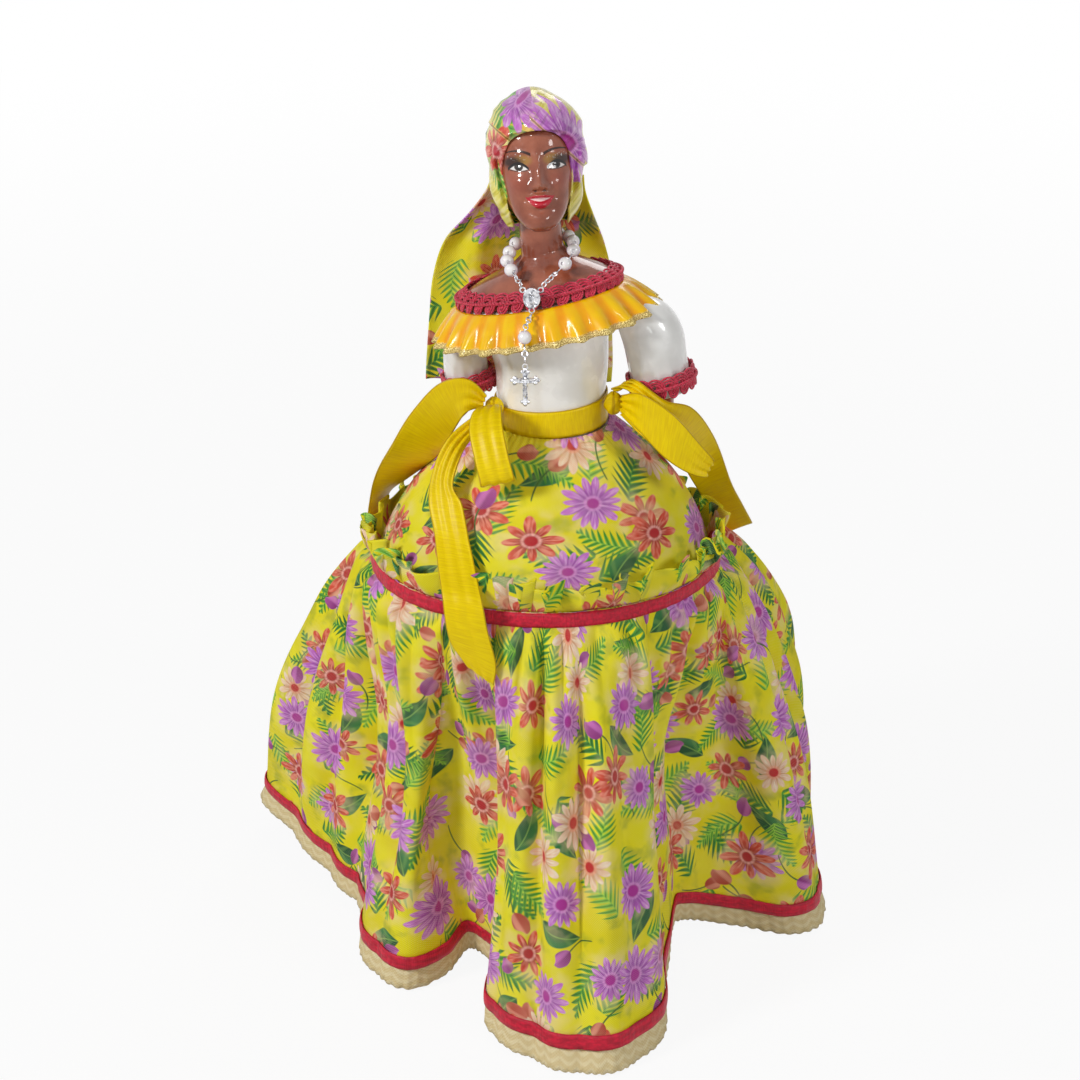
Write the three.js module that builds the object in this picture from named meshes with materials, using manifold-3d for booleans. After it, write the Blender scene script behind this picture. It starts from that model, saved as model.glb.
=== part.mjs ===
import * as THREE from 'three';
import { mergeVertices } from 'three/addons/utils/BufferGeometryUtils.js';
import Module from 'manifold-3d';

const wasm = await Module();
wasm.setup();

// A costume doll on a stand: a cast half figure on a padded form, dressed in a two-tier skirt.
// Lengths in millimetres, angles in degrees. The doll faces -Y and stands on the XY plane.

// General
const clearance = 0.3;
const clothThickness = 1;

// Stand
const baseRadius = 42;
const baseHeight = 8;
const baseEdge = 1.5;
const postRadius = 6;
const socketDepth = 40;

// Upper skirt tier and the padded form under it
const waistCentre = [5, 0];
const seamCentre = [2, -4];
const seamRadius = 75.2;
const seamHeight = 198;
const waistTop = seamHeight + 63;
const seamRise = 5;
const seamTuck = 2.5;
const tierBulge = [69, seamHeight + 31];
const skirtWaistRadius = 26;

// Frill and ribbon at the seam
const frillHeight = 11;
const frillLean = 0.5;
const frillWave = 1.8;
const frillCount = 30;
const trimThickness = 0.6;

// Lower skirt tier
const hemRibbonWidth = 0.033;
const clothEnd = 0.945;
const laceThickness = 0.8;
const laceGap = 0.006;
const tierRibbonFall = 0.032;

// Figure
const figureYaw = -14;
const figureLean = -4;
const shoulderTilt = -9;
const waistHeight = waistTop + 5;
const chestRise = 46;
const shoulderHeight = waistHeight + chestRise;
const neckRadius = 9.2;
const neckFoot = [2.6, 0.5, shoulderHeight + 14];
const neckTop = [-1.2, 1.5, shoulderHeight + 52];

// Head
const headCentre = [-2, 1, shoulderHeight + 68];
const headPitch = -12;
const headRoll = -3.5;
const headYaw = 4;

// Bodice, collar and sleeves
const neckline = 9;
const collarInner = [38.6, 26.6];
const collarOuter = [51, 38];
const collarDrop = 14;
const collarWave = 1.5;
const collarCount = 26;
const collarThickness = 1.2;
const collarSeat = 0.8;
const necklineBraid = [9.6, 13, 16.5];
const braidThickness = 1.6;
const sleeveWall = 1.4;
const cuffHeight = 11;
const armRadius = 4.4;

// Waistband and bows
const waistbandHeights = [-49, -39];
const ribbonWidth = 21;
const ribbonThickness = 0.8;

// Rosary
const beadRadius = 3;
const beadBore = 1.15;
const strandRadius = 0.35;
const linkWire = 0.35;
const linkLength = 1.5;
const linkWidth = 1.1;
const medalCentre = [-3.6, -28.8, shoulderHeight + 16.6];
const medalHalf = [3.7, 4.7];
const medalThickness = 1.2;
const medalRim = 0.8;
const medalSunk = 0.3;
const earRing = 1.1;
const dropBead = [-6.6, -38.4, shoulderHeight + 2.1];
const crossBail = [-6.4, -42.9, shoulderHeight - 9.6];
const crossHalfWidth = 5.6;
const crossTopArm = 5;
const crossFoot = 11;
const crossBar = 1.1;
const crossDepth = 1.4;

// Facets round each kind of piece
const tierColumns = 40;
const torsoColumns = 28;
const headColumns = 36;
const headRows = 22;
const wrapColumns = 26;
const sleeveColumns = 16;
const ringSteps = 8;
const ringSides = 4;
const ribbonSteps = 19;
const samplesPerFold = 3;

const degree = Math.PI / 180;
const fullTurn = Math.PI * 2;

// Shared helpers

function signedVolume(points, faces) {
  let volume = 0;
  for (let i = 0; i < faces.length; i += 3) {
    const [a, b, c] = [points[faces[i]], points[faces[i + 1]], points[faces[i + 2]]];
    volume += new THREE.Vector3().crossVectors(b, c).dot(a) / 6;
  }
  return volume;
}

// A closed mesh whose faces point out
function closedMesh(points, faces) {
  const outward = signedVolume(points, faces) > 0;
  const index = [];
  for (let i = 0; i < faces.length; i += 3) {
    index.push(faces[i], faces[i + (outward ? 1 : 2)], faces[i + (outward ? 2 : 1)]);
  }
  const geometry = new THREE.BufferGeometry();
  geometry.setAttribute('position', new THREE.Float32BufferAttribute(points.flatMap((p) => p.toArray()), 3));
  geometry.setIndex(index);
  return geometry;
}

// Skin over a row of loops with equal point counts, joined end to start or capped. Each square is cut
// along its shorter diagonal, so that the two sides of thin cloth stay parallel.
function skin(loops, joined) {
  const count = loops[0].length;
  const points = loops.flat();
  const faces = [];
  const spans = joined ? loops.length : loops.length - 1;
  for (let i = 0; i < spans; i += 1) {
    const row = i * count;
    const next = ((i + 1) % loops.length) * count;
    for (let j = 0; j < count; j += 1) {
      const k = (j + 1) % count;
      const [a, b, c, d] = [row + j, row + k, next + k, next + j];
      const shortest = points[a].distanceTo(points[c]) <= points[b].distanceTo(points[d]);
      faces.push(...(shortest ? [a, b, c, a, c, d] : [a, b, d, b, c, d]));
    }
  }
  if (!joined) {
    for (const [loop, start, turn] of [[loops[0], 0, 1], [loops.at(-1), spans * count, 0]]) {
      const middle = new THREE.Vector3();
      loop.forEach((p) => middle.add(p));
      points.push(middle.divideScalar(count));
      for (let j = 0; j < count; j += 1) {
        const k = (j + 1) % count;
        faces.push(points.length - 1, start + (turn ? k : j), start + (turn ? j : k));
      }
    }
  }
  return closedMesh(points, faces);
}

function toSolid(geometry) {
  const bare = geometry.clone();
  bare.deleteAttribute('normal');
  bare.deleteAttribute('uv');
  const merged = mergeVertices(bare, 1e-4);
  return new wasm.Manifold(new wasm.Mesh({
    numProp: 3,
    vertProperties: new Float32Array(merged.attributes.position.array),
    triVerts: new Uint32Array(merged.index.array),
  }));
}

// The largest body of a solid, as a mesh
function toMesh(solid) {
  const bodies = solid.decompose();
  bodies.sort((a, b) => b.volume() - a.volume());
  const mesh = bodies[0].getMesh();
  const geometry = new THREE.BufferGeometry();
  geometry.setAttribute('position', new THREE.BufferAttribute(mesh.vertProperties, 3));
  geometry.setIndex(new THREE.BufferAttribute(mesh.triVerts, 1));
  return geometry;
}

function join(...geometries) {
  return toMesh(geometries.map(toSolid).reduce((whole, piece) => whole.add(piece)));
}

function cut(geometry, ...tools) {
  return toMesh(tools.map(toSolid).reduce((rest, tool) => rest.subtract(tool), toSolid(geometry)));
}

function moved(geometry, matrix) {
  return geometry.clone().applyMatrix4(matrix);
}

function vec([x, y, z]) {
  return new THREE.Vector3(x, y, z);
}

// Places whose height counts from the waist or the shoulder line
function aboveWaist([x, y, z]) {
  return new THREE.Vector3(x, y, waistHeight + z);
}

function aboveShoulders([x, y, z]) {
  return new THREE.Vector3(x, y, shoulderHeight + z);
}

function mix(a, b, t) {
  return a + (b - a) * t;
}

function smooth(t) {
  const s = Math.min(Math.max(t, 0), 1);
  return s * s * (3 - 2 * s);
}

// Value of a smooth curve through stations [position, ...values] at one position
function alongStations(stations, position) {
  let i = 0;
  while (i < stations.length - 2 && stations[i + 1][0] < position) {
    i += 1;
  }
  const a = stations[i];
  const b = stations[i + 1];
  const before = stations[Math.max(i - 1, 0)];
  const after = stations[Math.min(i + 2, stations.length - 1)];
  const span = b[0] - a[0];
  const t = Math.min(Math.max((position - a[0]) / span, 0), 1);
  return a.slice(1).map((value, k) => {
    const rise = span * (b[k + 1] - before[k + 1]) / Math.max(b[0] - before[0], 1e-6);
    const fall = span * (after[k + 1] - value) / Math.max(after[0] - a[0], 1e-6);
    const h = t * t;
    const c = h * t;
    return (2 * c - 3 * h + 1) * value + (c - 2 * h + t) * rise + (3 * h - 2 * c) * b[k + 1] + (c - h) * fall;
  });
}

function roundLoop(count, place) {
  return Array.from({ length: count }, (_, i) => place((i / count) * fullTurn));
}

// A smooth curve through points, and one through single numbers
function curveThrough(points, closed = false) {
  return new THREE.CatmullRomCurve3(points, closed, 'catmullrom', 0.5);
}

function valuesThrough(values, closed = false) {
  const curve = curveThrough(values.map((value) => new THREE.Vector3(value, 0, 0)), closed);
  return (share) => curve.getPoint(share).x;
}

// A tube of round section along a path, closed at its ends
function tube(points, radius, steps, sides) {
  const path = new THREE.CatmullRomCurve3(points.map(vec));
  const section = new THREE.Shape();
  for (let i = 0; i < sides; i += 1) {
    const angle = (i / sides) * fullTurn;
    section[i ? 'lineTo' : 'moveTo'](radius * Math.cos(angle), radius * Math.sin(angle));
  }
  return new THREE.ExtrudeGeometry(section, { steps, extrudePath: path });
}

// An oval wire ring round a centre, in the plane of two unit directions
function wireRing(centre, along, across, halfLength, halfWidth, wire) {
  const normal = new THREE.Vector3().crossVectors(along, across).normalize();
  const loops = roundLoop(ringSteps, (turn) => {
    const out = along.clone().multiplyScalar(Math.cos(turn)).addScaledVector(across, Math.sin(turn));
    const middle = centre.clone();
    middle.addScaledVector(along, halfLength * Math.cos(turn));
    middle.addScaledVector(across, halfWidth * Math.sin(turn));
    return roundLoop(ringSides, (a) => middle.clone()
      .addScaledVector(out, wire * Math.cos(a))
      .addScaledVector(normal, wire * Math.sin(a)));
  });
  return skin(loops, true);
}

// Linked rings from one point to another, every second one turned a quarter
function chain(from, to, firstAcross) {
  const line = to.clone().sub(from);
  const along = line.clone().normalize();
  const pitch = 2 * linkLength - linkWire * 0.9;
  const count = Math.max(1, Math.round((line.length() - 2 * linkLength) / pitch) + 1);
  const gap = count > 1 ? (line.length() - 2 * linkLength) / (count - 1) : 0;
  const side = firstAcross.clone().addScaledVector(along, -firstAcross.dot(along)).normalize();
  const other = new THREE.Vector3().crossVectors(along, side);
  const links = [];
  for (let i = 0; i < count; i += 1) {
    const centre = from.clone().addScaledVector(along, linkLength + i * gap);
    links.push(wireRing(centre, along, i % 2 ? other : side, linkLength - linkWire / 2, linkWidth, linkWire));
  }
  return links;
}

// A flat ribbon along stations, each with a place and the direction across the ribbon
function ribbon(stations, width, steps) {
  const middle = curveThrough(stations.map((s) => aboveWaist(s.at)));
  const across = curveThrough(stations.map((s) => vec(s.across)));
  const wide = valuesThrough(stations.map((s) => s.share ?? 1));
  const loops = [];
  for (let i = 0; i <= steps; i += 1) {
    const t = i / steps;
    const tangent = middle.getPoint(Math.min(t + 0.01, 1)).sub(middle.getPoint(Math.max(t - 0.01, 0)));
    const side = across.getPoint(t).normalize();
    const face = new THREE.Vector3().crossVectors(side, tangent).normalize();
    side.multiplyScalar(width / 2 * wide(t));
    face.multiplyScalar(ribbonThickness / 2);
    const at = middle.getPoint(t);
    loops.push([[1, 1], [-1, 1], [-1, -1], [1, -1]].map(([a, b]) => at.clone()
      .addScaledVector(side, a).addScaledVector(face, b)));
  }
  return skin(loops, false);
}

// Scene

const doll = new THREE.Group();
const figure = new THREE.Group();
figure.position.set(waistCentre[0], waistCentre[1], waistHeight);
figure.rotation.set(0, figureLean * degree, figureYaw * degree, 'ZYX');
const chest = new THREE.Group();
chest.position.z = chestRise;
chest.rotation.y = shoulderTilt * degree;
const head = new THREE.Group();
head.position.set(...headCentre);
head.rotation.set(headPitch * degree, headRoll * degree, headYaw * degree, 'ZYX');
doll.add(figure, head);
figure.add(chest);
doll.updateMatrixWorld(true);

const looks = {
  skin: { color: 0x8f5847, roughness: 0.25, metalness: 0 },
  white: { color: 0xf4f3f0, roughness: 0.3, metalness: 0 },
  print: { color: 0xe8e020, roughness: 0.85, metalness: 0 },
  satin: { color: 0xffe800, roughness: 0.4, metalness: 0 },
  gold: { color: 0xffc400, roughness: 0.35, metalness: 0 },
  crimson: { color: 0xc8102e, roughness: 0.6, metalness: 0 },
  lace: { color: 0xd9c48a, roughness: 0.9, metalness: 0 },
  pearl: { color: 0xeeeef4, roughness: 0.15, metalness: 0 },
  silver: { color: 0xc8c8cc, roughness: 0.3, metalness: 0.9 },
  foam: { color: 0xf2f2ee, roughness: 0.9, metalness: 0 },
  wood: { color: 0xb98d5a, roughness: 0.6, metalness: 0 },
};

function place(name, look, geometry, parent = doll) {
  const mesh = new THREE.Mesh(geometry, new THREE.MeshStandardMaterial(looks[look]));
  mesh.name = name;
  parent.add(mesh);
  return mesh;
}

// Upper tier: a dome from the waist down to the seam. fall is 0 at the waist and 1 at the seam,
// and the edge tucked under the lower tier goes on to 2.

function seamLevel(angle) {
  return seamHeight + seamRise * Math.cos(angle);
}

// A place on the seam's circle, out by a radius and up by a lift
function seamPlace(angle, radius, lift) {
  return new THREE.Vector3(
    seamCentre[0] + radius * Math.sin(angle),
    seamCentre[1] - radius * Math.cos(angle),
    seamLevel(angle) + lift);
}

function tierPoint(angle, fall, offset) {
  const t = Math.min(fall, 1);
  const [bulgeRadius, bulgeHeight] = tierBulge;
  const level = seamLevel(angle);
  const bend = (start, middle, end) => (1 - t) ** 2 * start + 2 * t * (1 - t) * middle + t * t * end;
  const slope = (start, middle, end) => (1 - t) * (middle - start) + t * (end - middle);
  const out = -slope(waistTop, bulgeHeight, level);
  const up = slope(skirtWaistRadius, bulgeRadius, seamRadius);
  const reach = offset / Math.hypot(out, up);
  const radius = bend(skirtWaistRadius, bulgeRadius, seamRadius) + reach * out;
  const height = bend(waistTop, bulgeHeight, level) + reach * up - Math.max(fall - 1, 0) * seamTuck;
  return new THREE.Vector3(
    mix(waistCentre[0], seamCentre[0], t) + radius * Math.sin(angle),
    mix(waistCentre[1], seamCentre[1], t) - radius * Math.cos(angle), height);
}

const tierFalls = [0, 0.25, 0.5, 0.75, 1, 2];

function upperSkirt() {
  const half = clothThickness / 2;
  return skin(roundLoop(tierColumns, (angle) => [
    ...tierFalls.map((fall) => tierPoint(angle, fall, half)),
    ...tierFalls.toReversed().map((fall) => tierPoint(angle, fall, -half)),
  ]), true);
}

function formLoops(offset) {
  return tierFalls.map((fall) => roundLoop(tierColumns, (angle) => tierPoint(angle, fall, offset)));
}

const formFoot = seamHeight - seamTuck - seamRise;

function hipForm() {
  const bore = postRadius + clearance;
  const socket = new THREE.CylinderGeometry(bore, bore, 2 * socketDepth, 24);
  socket.rotateX(Math.PI / 2).translate(0, 0, formFoot);
  return cut(skin(formLoops(-clothThickness / 2 - clearance), false), socket);
}

// Stand: a turned disc with a dowel glued into the form
function standBase() {
  const outline = [[0, 0], [baseRadius - baseEdge, 0], [baseRadius, baseEdge],
    [baseRadius, baseHeight - baseEdge], [baseRadius - baseEdge, baseHeight], [0, baseHeight]];
  const disc = new THREE.LatheGeometry(outline.map(([r, z]) => new THREE.Vector2(r, z)), 36);
  return disc.rotateX(Math.PI / 2);
}

function standPost() {
  const foot = baseHeight + clearance;
  const top = formFoot + socketDepth - clearance;
  const dowel = new THREE.CylinderGeometry(postRadius, postRadius, top - foot, 24);
  return dowel.rotateX(Math.PI / 2).translate(0, 0, (top + foot) / 2);
}

// Lower tier: cloth that falls from the seam to a wandering hem. Each hem station has its angle from
// the front, distance from the origin, height, and how far the cloth bellies out half way down.
const hemStations = [
  [4, 134, 0.6, 0], [15, 138, 0.6, 0], [26, 124, 1, 0], [35, 102, 3, 0], [44, 86, 8, 3], [58, 73, 12, 6],
  [72, 76, 10, 9], [77, 98, 5, 8], [78, 122, 2, 6], [85, 138, 1.5, 6], [96, 138, 6, 10], [107, 135, 42, 16],
  [118, 145, 92, 16], [128, 150, 52, 16], [138, 146, 5, 10], [151, 120, 3, 6], [164, 137, 1, 6],
  [177, 146, 1, 6], [190, 124, 4, 6], [202, 116, 6, 8], [214, 140, 3, 10], [226, 160, 8, 12],
  [241, 162, 20, 16], [250, 130, 14, 14], [262, 102, 8, 10], [278, 86, 4, 6], [291, 92, 1.5, 4],
  [306, 97, 0.8, 2], [318, 92, 0.6, 3], [324, 74, 3, 6], [325, 58, 8, 8], [338, 60, 7, 8],
  [344, 80, 3, 6], [348, 108, 0.8, 2],
];
const skirtColumns = hemStations.length * 2;
const lowerRadius = seamRadius + clothThickness + clearance;

function hemPlace([angle, radius, height]) {
  return new THREE.Vector3(radius * Math.sin(angle * degree), -radius * Math.cos(angle * degree), height);
}

const hemCurve = curveThrough(hemStations.map(hemPlace), true);
const bellyAt = valuesThrough(hemStations.map((station) => station[3]), true);

// Where each hem station hangs from on the seam: its share of the turn, evened out by hem length
function seamAngles() {
  const places = hemStations.map(hemPlace);
  const count = places.length;
  const lengths = places.map((p, i) => p.distanceTo(places[(i + 1) % count]));
  const total = lengths.reduce((sum, length) => sum + length, 0);
  const turns = hemStations.map(([angle], i) => {
    const next = hemStations[(i + 1) % count][0] + (i === count - 1 ? 360 : 0);
    return Math.max(next - angle, 0);
  });
  const turned = turns.reduce((sum, turn) => sum + turn, 0);
  const angles = [hemStations[0][0] * degree];
  for (let i = 0; i < count - 1; i += 1) {
    const share = 0.65 * turns[i] / turned + 0.35 * lengths[i] / total;
    angles.push(angles[i] + share * fullTurn);
  }
  return angles;
}

const seamWays = seamAngles().map((angle) => new THREE.Vector3(Math.sin(angle), -Math.cos(angle), 0));
const seamCurve = curveThrough(seamWays, true);

function skirtMiddle(u, v) {
  const share = ((u % 1) + 1) % 1;
  const direction = seamCurve.getPoint(share);
  const angle = Math.atan2(direction.x, -direction.y);
  const point = seamPlace(angle, lowerRadius, 0).lerp(hemCurve.getPoint(share), v);
  const belly = bellyAt(share) * Math.sin(Math.PI * Math.min(v / clothEnd, 1));
  point.x += belly * Math.sin(angle);
  point.y -= belly * Math.cos(angle);
  return point;
}

function skirtPoint(u, v, offset) {
  const step = 0.004;
  const alongHem = skirtMiddle(u + step, v).sub(skirtMiddle(u - step, v));
  const alongFall = skirtMiddle(u, v + step).sub(skirtMiddle(u, Math.max(v - step, 0)));
  const normal = alongHem.cross(alongFall).normalize().negate();
  const point = skirtMiddle(u, v);
  if (v === 0) {
    normal.set(point.x - seamCentre[0], point.y - seamCentre[1], 0).normalize();
  }
  return point.addScaledVector(normal, offset);
}

// A band on the lower tier between two offsets from the cloth's middle, through a row of falls
function skirtBand(falls, near, far) {
  return skin(Array.from({ length: skirtColumns }, (_, i) => [
    ...falls.map((v) => skirtPoint(i / skirtColumns, v, near)),
    ...falls.toReversed().map((v) => skirtPoint(i / skirtColumns, v, far)),
  ]), true);
}

const hemRibbonTop = clothEnd - hemRibbonWidth;
const trimInner = clothThickness / 2 + clearance;

function lowerSkirt() {
  const falls = [0, tierRibbonFall, 0.2, 0.45, 0.7, hemRibbonTop, clothEnd];
  return skirtBand(falls, clothThickness / 2, -clothThickness / 2);
}

function hemRibbon() {
  return skirtBand([hemRibbonTop, clothEnd], trimInner, trimInner + trimThickness);
}

function hemLace() {
  return skirtBand([clothEnd + laceGap, 1], laceThickness / 2, -laceThickness / 2);
}

// The ribbon sewn over the gathers, which follows the cloth under it
function tierRibbon() {
  return skirtBand([0, tierRibbonFall], trimInner, trimInner + trimThickness);
}

// The gathered edge of the lower tier that stands above its ribbon
function headerFrill() {
  const edge = (angle, share, side) => {
    const wave = frillWave * share * Math.sin(frillCount * angle + 0.8 * Math.sin(5 * angle));
    const radius = lowerRadius - frillLean * share + wave + side * clothThickness / 2;
    return seamPlace(angle, radius, clearance + frillHeight * share * (1 - 0.08 * Math.sin(7 * angle)));
  };
  return skin(roundLoop(frillCount * samplesPerFold, (angle) => [
    edge(angle, 0, 1), edge(angle, 1, 1), edge(angle, 1, -1), edge(angle, 0, -1),
  ]), true);
}

// Torso, in the figure's frame: height above the shoulder line, half width, half depth, centre in y and x
const torsoStations = [
  [-54, 24.4, 23.4, 0, 0], [-46, 24.4, 23.4, 0, 0], [-30, 25.2, 23.4, -0.4, 0], [-15, 26.6, 24.6, -1.4, 0],
  [-4, 30, 25, -1.6, 0], [3, 34.5, 24.4, -1.2, 0], [9, 37, 23, -1, 0], [14, 34, 20, -0.8, 0.6],
  [19, 24.5, 16, -0.6, 2], [23, 15.5, 12.4, -0.4, 4], [27, 10.5, 10, 0, 5.6], [31, 7, 7, 0, 6.6],
];

function torsoPoint(angle, height, offset) {
  const [halfWidth, halfDepth, middle, sideways] = alongStations(torsoStations, height);
  const tilt = shoulderTilt * degree * smooth((height + chestRise) / (chestRise - 4));
  const x = sideways + (halfWidth + offset) * Math.sin(angle);
  const y = middle - (halfDepth + offset) * Math.cos(angle);
  const point = new THREE.Vector3(x, y, height);
  point.applyAxisAngle(new THREE.Vector3(0, 1, 0), tilt);
  point.z += chestRise;
  return point;
}

function torsoLoops(heights, offset) {
  return heights.map((height) => roundLoop(torsoColumns, (angle) => torsoPoint(angle, height, offset)));
}

const bodiceHeights = [-54, ...waistbandHeights, -28, -18, -9, -3, 3, neckline - clearance / 2];
const chestHeights = [neckline + clearance / 2, ...necklineBraid, 19, 22, 26, 31];
const formTop = skin(formLoops(-clothThickness / 2), false);

function bodice() {
  const toFigure = figure.matrixWorld.clone().invert();
  return cut(skin(torsoLoops(bodiceHeights, 0), false), moved(formTop, toFigure));
}

// Neckline braid: a band that lies on the shoulder slope
function braidBand() {
  const lifted = (height, offset) => (angle) => {
    const point = torsoPoint(angle, height, offset);
    point.z += offset * 0.6;
    return point;
  };
  const outer = necklineBraid.map((height) => lifted(height, clearance + braidThickness));
  const inner = necklineBraid.toReversed().map((height) => lifted(height, clearance));
  return skin(roundLoop(torsoColumns, (angle) => [...outer, ...inner].map((at) => at(angle))), true);
}

// Gathered collar, in the chest frame: a flounce that spreads from the neckline over the shoulders
function collarPoint(angle, share, side) {
  const flutes = collarWave * share * Math.sin(collarCount * angle + 0.9 * Math.sin(3 * angle));
  const reach = share ** 0.85;
  const lift = side * collarThickness / 2 * Math.SQRT1_2;
  const halfWidth = mix(collarInner[0], collarOuter[0], reach) + flutes + lift;
  const halfDepth = mix(collarInner[1], collarOuter[1], reach) + flutes + lift;
  const height = neckline - collarSeat - collarDrop * share ** 1.15 + lift;
  return new THREE.Vector3(halfWidth * Math.sin(angle), -1 - halfDepth * Math.cos(angle), height);
}

// With a margin, the room that the collar takes from what is under it
function collar(margin) {
  const shares = [0, 0.5, 1 + margin * 0.08];
  const side = 1 + 2 * margin / collarThickness;
  return skin(roundLoop(collarCount * samplesPerFold, (angle) => [
    ...shares.map((share) => collarPoint(angle, share, side)),
    ...shares.toReversed().map((share) => collarPoint(angle, share, -side)),
  ]), true);
}

// Sleeves and arms, in the chest frame. Each arm station has its place and the sleeve's radius there.
const armSides = {
  left: [
    [-30, 0, 4, 8], [-36.5, 1, -3, 9.8], [-41, 2.2, -12, 10], [-43.5, 3.5, -23, 10], [-43.5, 3.5, -34, 10],
  ],
  right: [[31, 0, 4, 8], [42, 0.5, -5, 12], [46, 1, -17, 13.6], [45.5, 2, -33, 13.2], [45.5, 2, -45, 13.2]],
};
const handPlaces = { left: [-50.5, 20.5, -27.5], right: [58, 13, -27] };
const sleeveHollow = 0.62;

function sleeveSection([x, y, z, radius], inset) {
  return roundLoop(sleeveColumns, (angle) => new THREE.Vector3(
    x + (radius - inset) * Math.sin(angle), y - (radius - inset) * Math.cos(angle), z));
}

function sleeveStation(stations, share) {
  const path = curveThrough(stations.map(vec));
  const radiusAt = valuesThrough(stations.map((station) => station[3]));
  return [...path.getPoint(share).toArray(), radiusAt(share)];
}

function sleeve(side) {
  const stations = armSides[side];
  const down = [0, 0.2, 0.35, 0.5, 0.75, 1];
  const up = [1, 0.75, sleeveHollow];
  const loops = [
    ...down.map((share) => sleeveSection(sleeveStation(stations, share), 0)),
    ...up.map((share) => sleeveSection(sleeveStation(stations, share), sleeveWall)),
  ];
  const toChest = chest.matrix.clone().invert();
  const bodiceRoom = moved(skin(torsoLoops(bodiceHeights, clearance), false), toChest);
  const bustRoom = moved(skin(torsoLoops(chestHeights, clearance), false), toChest);
  return cut(skin(loops, false), collar(clearance), bodiceRoom, bustRoom);
}

function cuffBraid(side) {
  const [x, y, z, radius] = armSides[side].at(-1);
  const inner = radius + 2 * clearance;
  return skin(roundLoop(sleeveColumns, (angle) => [
    [inner, 0], [inner + braidThickness, 0], [inner + braidThickness, cuffHeight], [inner, cuffHeight],
  ].map(([r, lift]) => new THREE.Vector3(x + r * Math.sin(angle), y - r * Math.cos(angle), z + lift))), true);
}

// Forearm and hand: from the stuffing inside the sleeve down to the side of the upper tier
function arm(side) {
  const stations = armSides[side];
  const seat = vec(sleeveStation(stations, sleeveHollow)).sub(new THREE.Vector3(0, 0, clearance));
  const down = new THREE.Vector3(0, 0, -1).transformDirection(chest.matrixWorld);
  const elbow = chest.localToWorld(seat);
  const opening = chest.localToWorld(vec(stations.at(-1)));
  const hand = aboveWaist(handPlaces[side]);
  const path = new THREE.CatmullRomCurve3([elbow, opening, opening.clone().lerp(hand, 0.6), hand]);
  const out = new THREE.Vector3(hand.x - waistCentre[0], hand.y, Math.abs(hand.x) * 0.8).normalize();
  const shape = [[0, 1.15, 1.15], [0.4, 1, 1], [0.66, 0.66, 0.74], [0.76, 0.62, 1], [0.88, 0.55, 1.1],
    [0.96, 0.4, 0.8], [1, 0.2, 0.4]];
  const rows = 9;
  const loops = [];
  for (let i = 0; i <= rows; i += 1) {
    const [thick, broad] = alongStations(shape, i / rows);
    const middle = path.getPoint(i / rows);
    const tangent = i ? path.getTangent(i / rows) : down;
    const broadWay = new THREE.Vector3().crossVectors(tangent, out).normalize();
    const thickWay = new THREE.Vector3().crossVectors(broadWay, tangent).normalize();
    loops.push(roundLoop(12, (angle) => middle.clone()
      .addScaledVector(thickWay, armRadius * thick * Math.cos(angle))
      .addScaledVector(broadWay, armRadius * broad * Math.sin(angle))));
  }
  return skin(loops, false);
}

// Head, in its own frame with the eyes at height 0: height, front, widest, back, half width
const headStations = [
  [-28, -19, -15.5, -12, 3.4], [-26, -21.2, -15, -9, 6.6], [-22, -21.8, -12, -4, 10.2],
  [-16, -21.2, -8, 5, 13.2], [-10, -21.2, -5, 14, 15], [-2, -20.4, -3, 20, 16.6], [6, -20, -1, 22, 17.4],
  [14, -18.4, 0, 21.5, 17], [20, -14.8, 1, 18.5, 14.4], [25, -9, 2, 13, 9.8], [28, -2.5, 3, 7, 4],
];

// How far the head's facets crowd towards the face
const faceCrowding = 0.42;

// Raised and sunk places of the face: side, height, reach sideways, reach in height, depth
const faceForms = [
  [0, 2, 1.9, 5, 1.6], [0, -4.5, 1.9, 3.6, 2.4], [0, -7.6, 2.5, 2.1, 3.4], [3.1, -8.4, 1.5, 1.5, 1.7],
  [8.2, 0.4, 4.6, 3.2, -2.3], [8.2, 0, 3.1, 1.9, 1.5], [8.4, 5.6, 5.5, 1.8, 0.6], [9.8, -6.5, 4.4, 4, 1.2],
  [1.6, -12, 3.2, 1.1, 1.7], [0, -15.8, 4.2, 1.4, 2.1], [0, -13.8, 4.6, 0.6, -1], [0, -18.8, 5, 1.3, -0.8],
  [0, -22.8, 4, 2.8, 1.1],
];

function faceRelief(x, z) {
  return faceForms.reduce((sum, [side, height, reach, rise, depth]) => {
    const sides = side ? [side, -side] : [0];
    return sum + sides.reduce((part, middle) => part
      + depth * Math.exp(-(((x - middle) / reach) ** 2) - ((z - height) / rise) ** 2), 0);
  }, 0);
}

function headPoint(angle, height, offset, detailed) {
  const [front, widest, back, halfWidth] = alongStations(headStations, height);
  const x = (halfWidth + offset) * Math.sin(angle);
  const forward = Math.cos(angle);
  const y = forward > 0
    ? widest + (front - widest - offset) * forward
    : widest - (back - widest + offset) * forward;
  const relief = detailed && forward > 0 ? faceRelief(x, height) * smooth(forward * 2) : 0;
  return new THREE.Vector3(x, y - relief, height);
}

function headShape(offset, columns, rows, detailed) {
  const low = headStations[0][0];
  const high = headStations.at(-1)[0];
  const loops = [];
  for (let i = 0; i <= rows; i += 1) {
    const height = mix(low, high, i / rows) + (i === 0 ? -offset : 0) + (i === rows ? offset : 0);
    loops.push(roundLoop(columns, (turn) => headPoint(
      turn - faceCrowding * Math.sin(turn), height, offset, detailed)));
  }
  return skin(loops, false);
}

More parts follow.
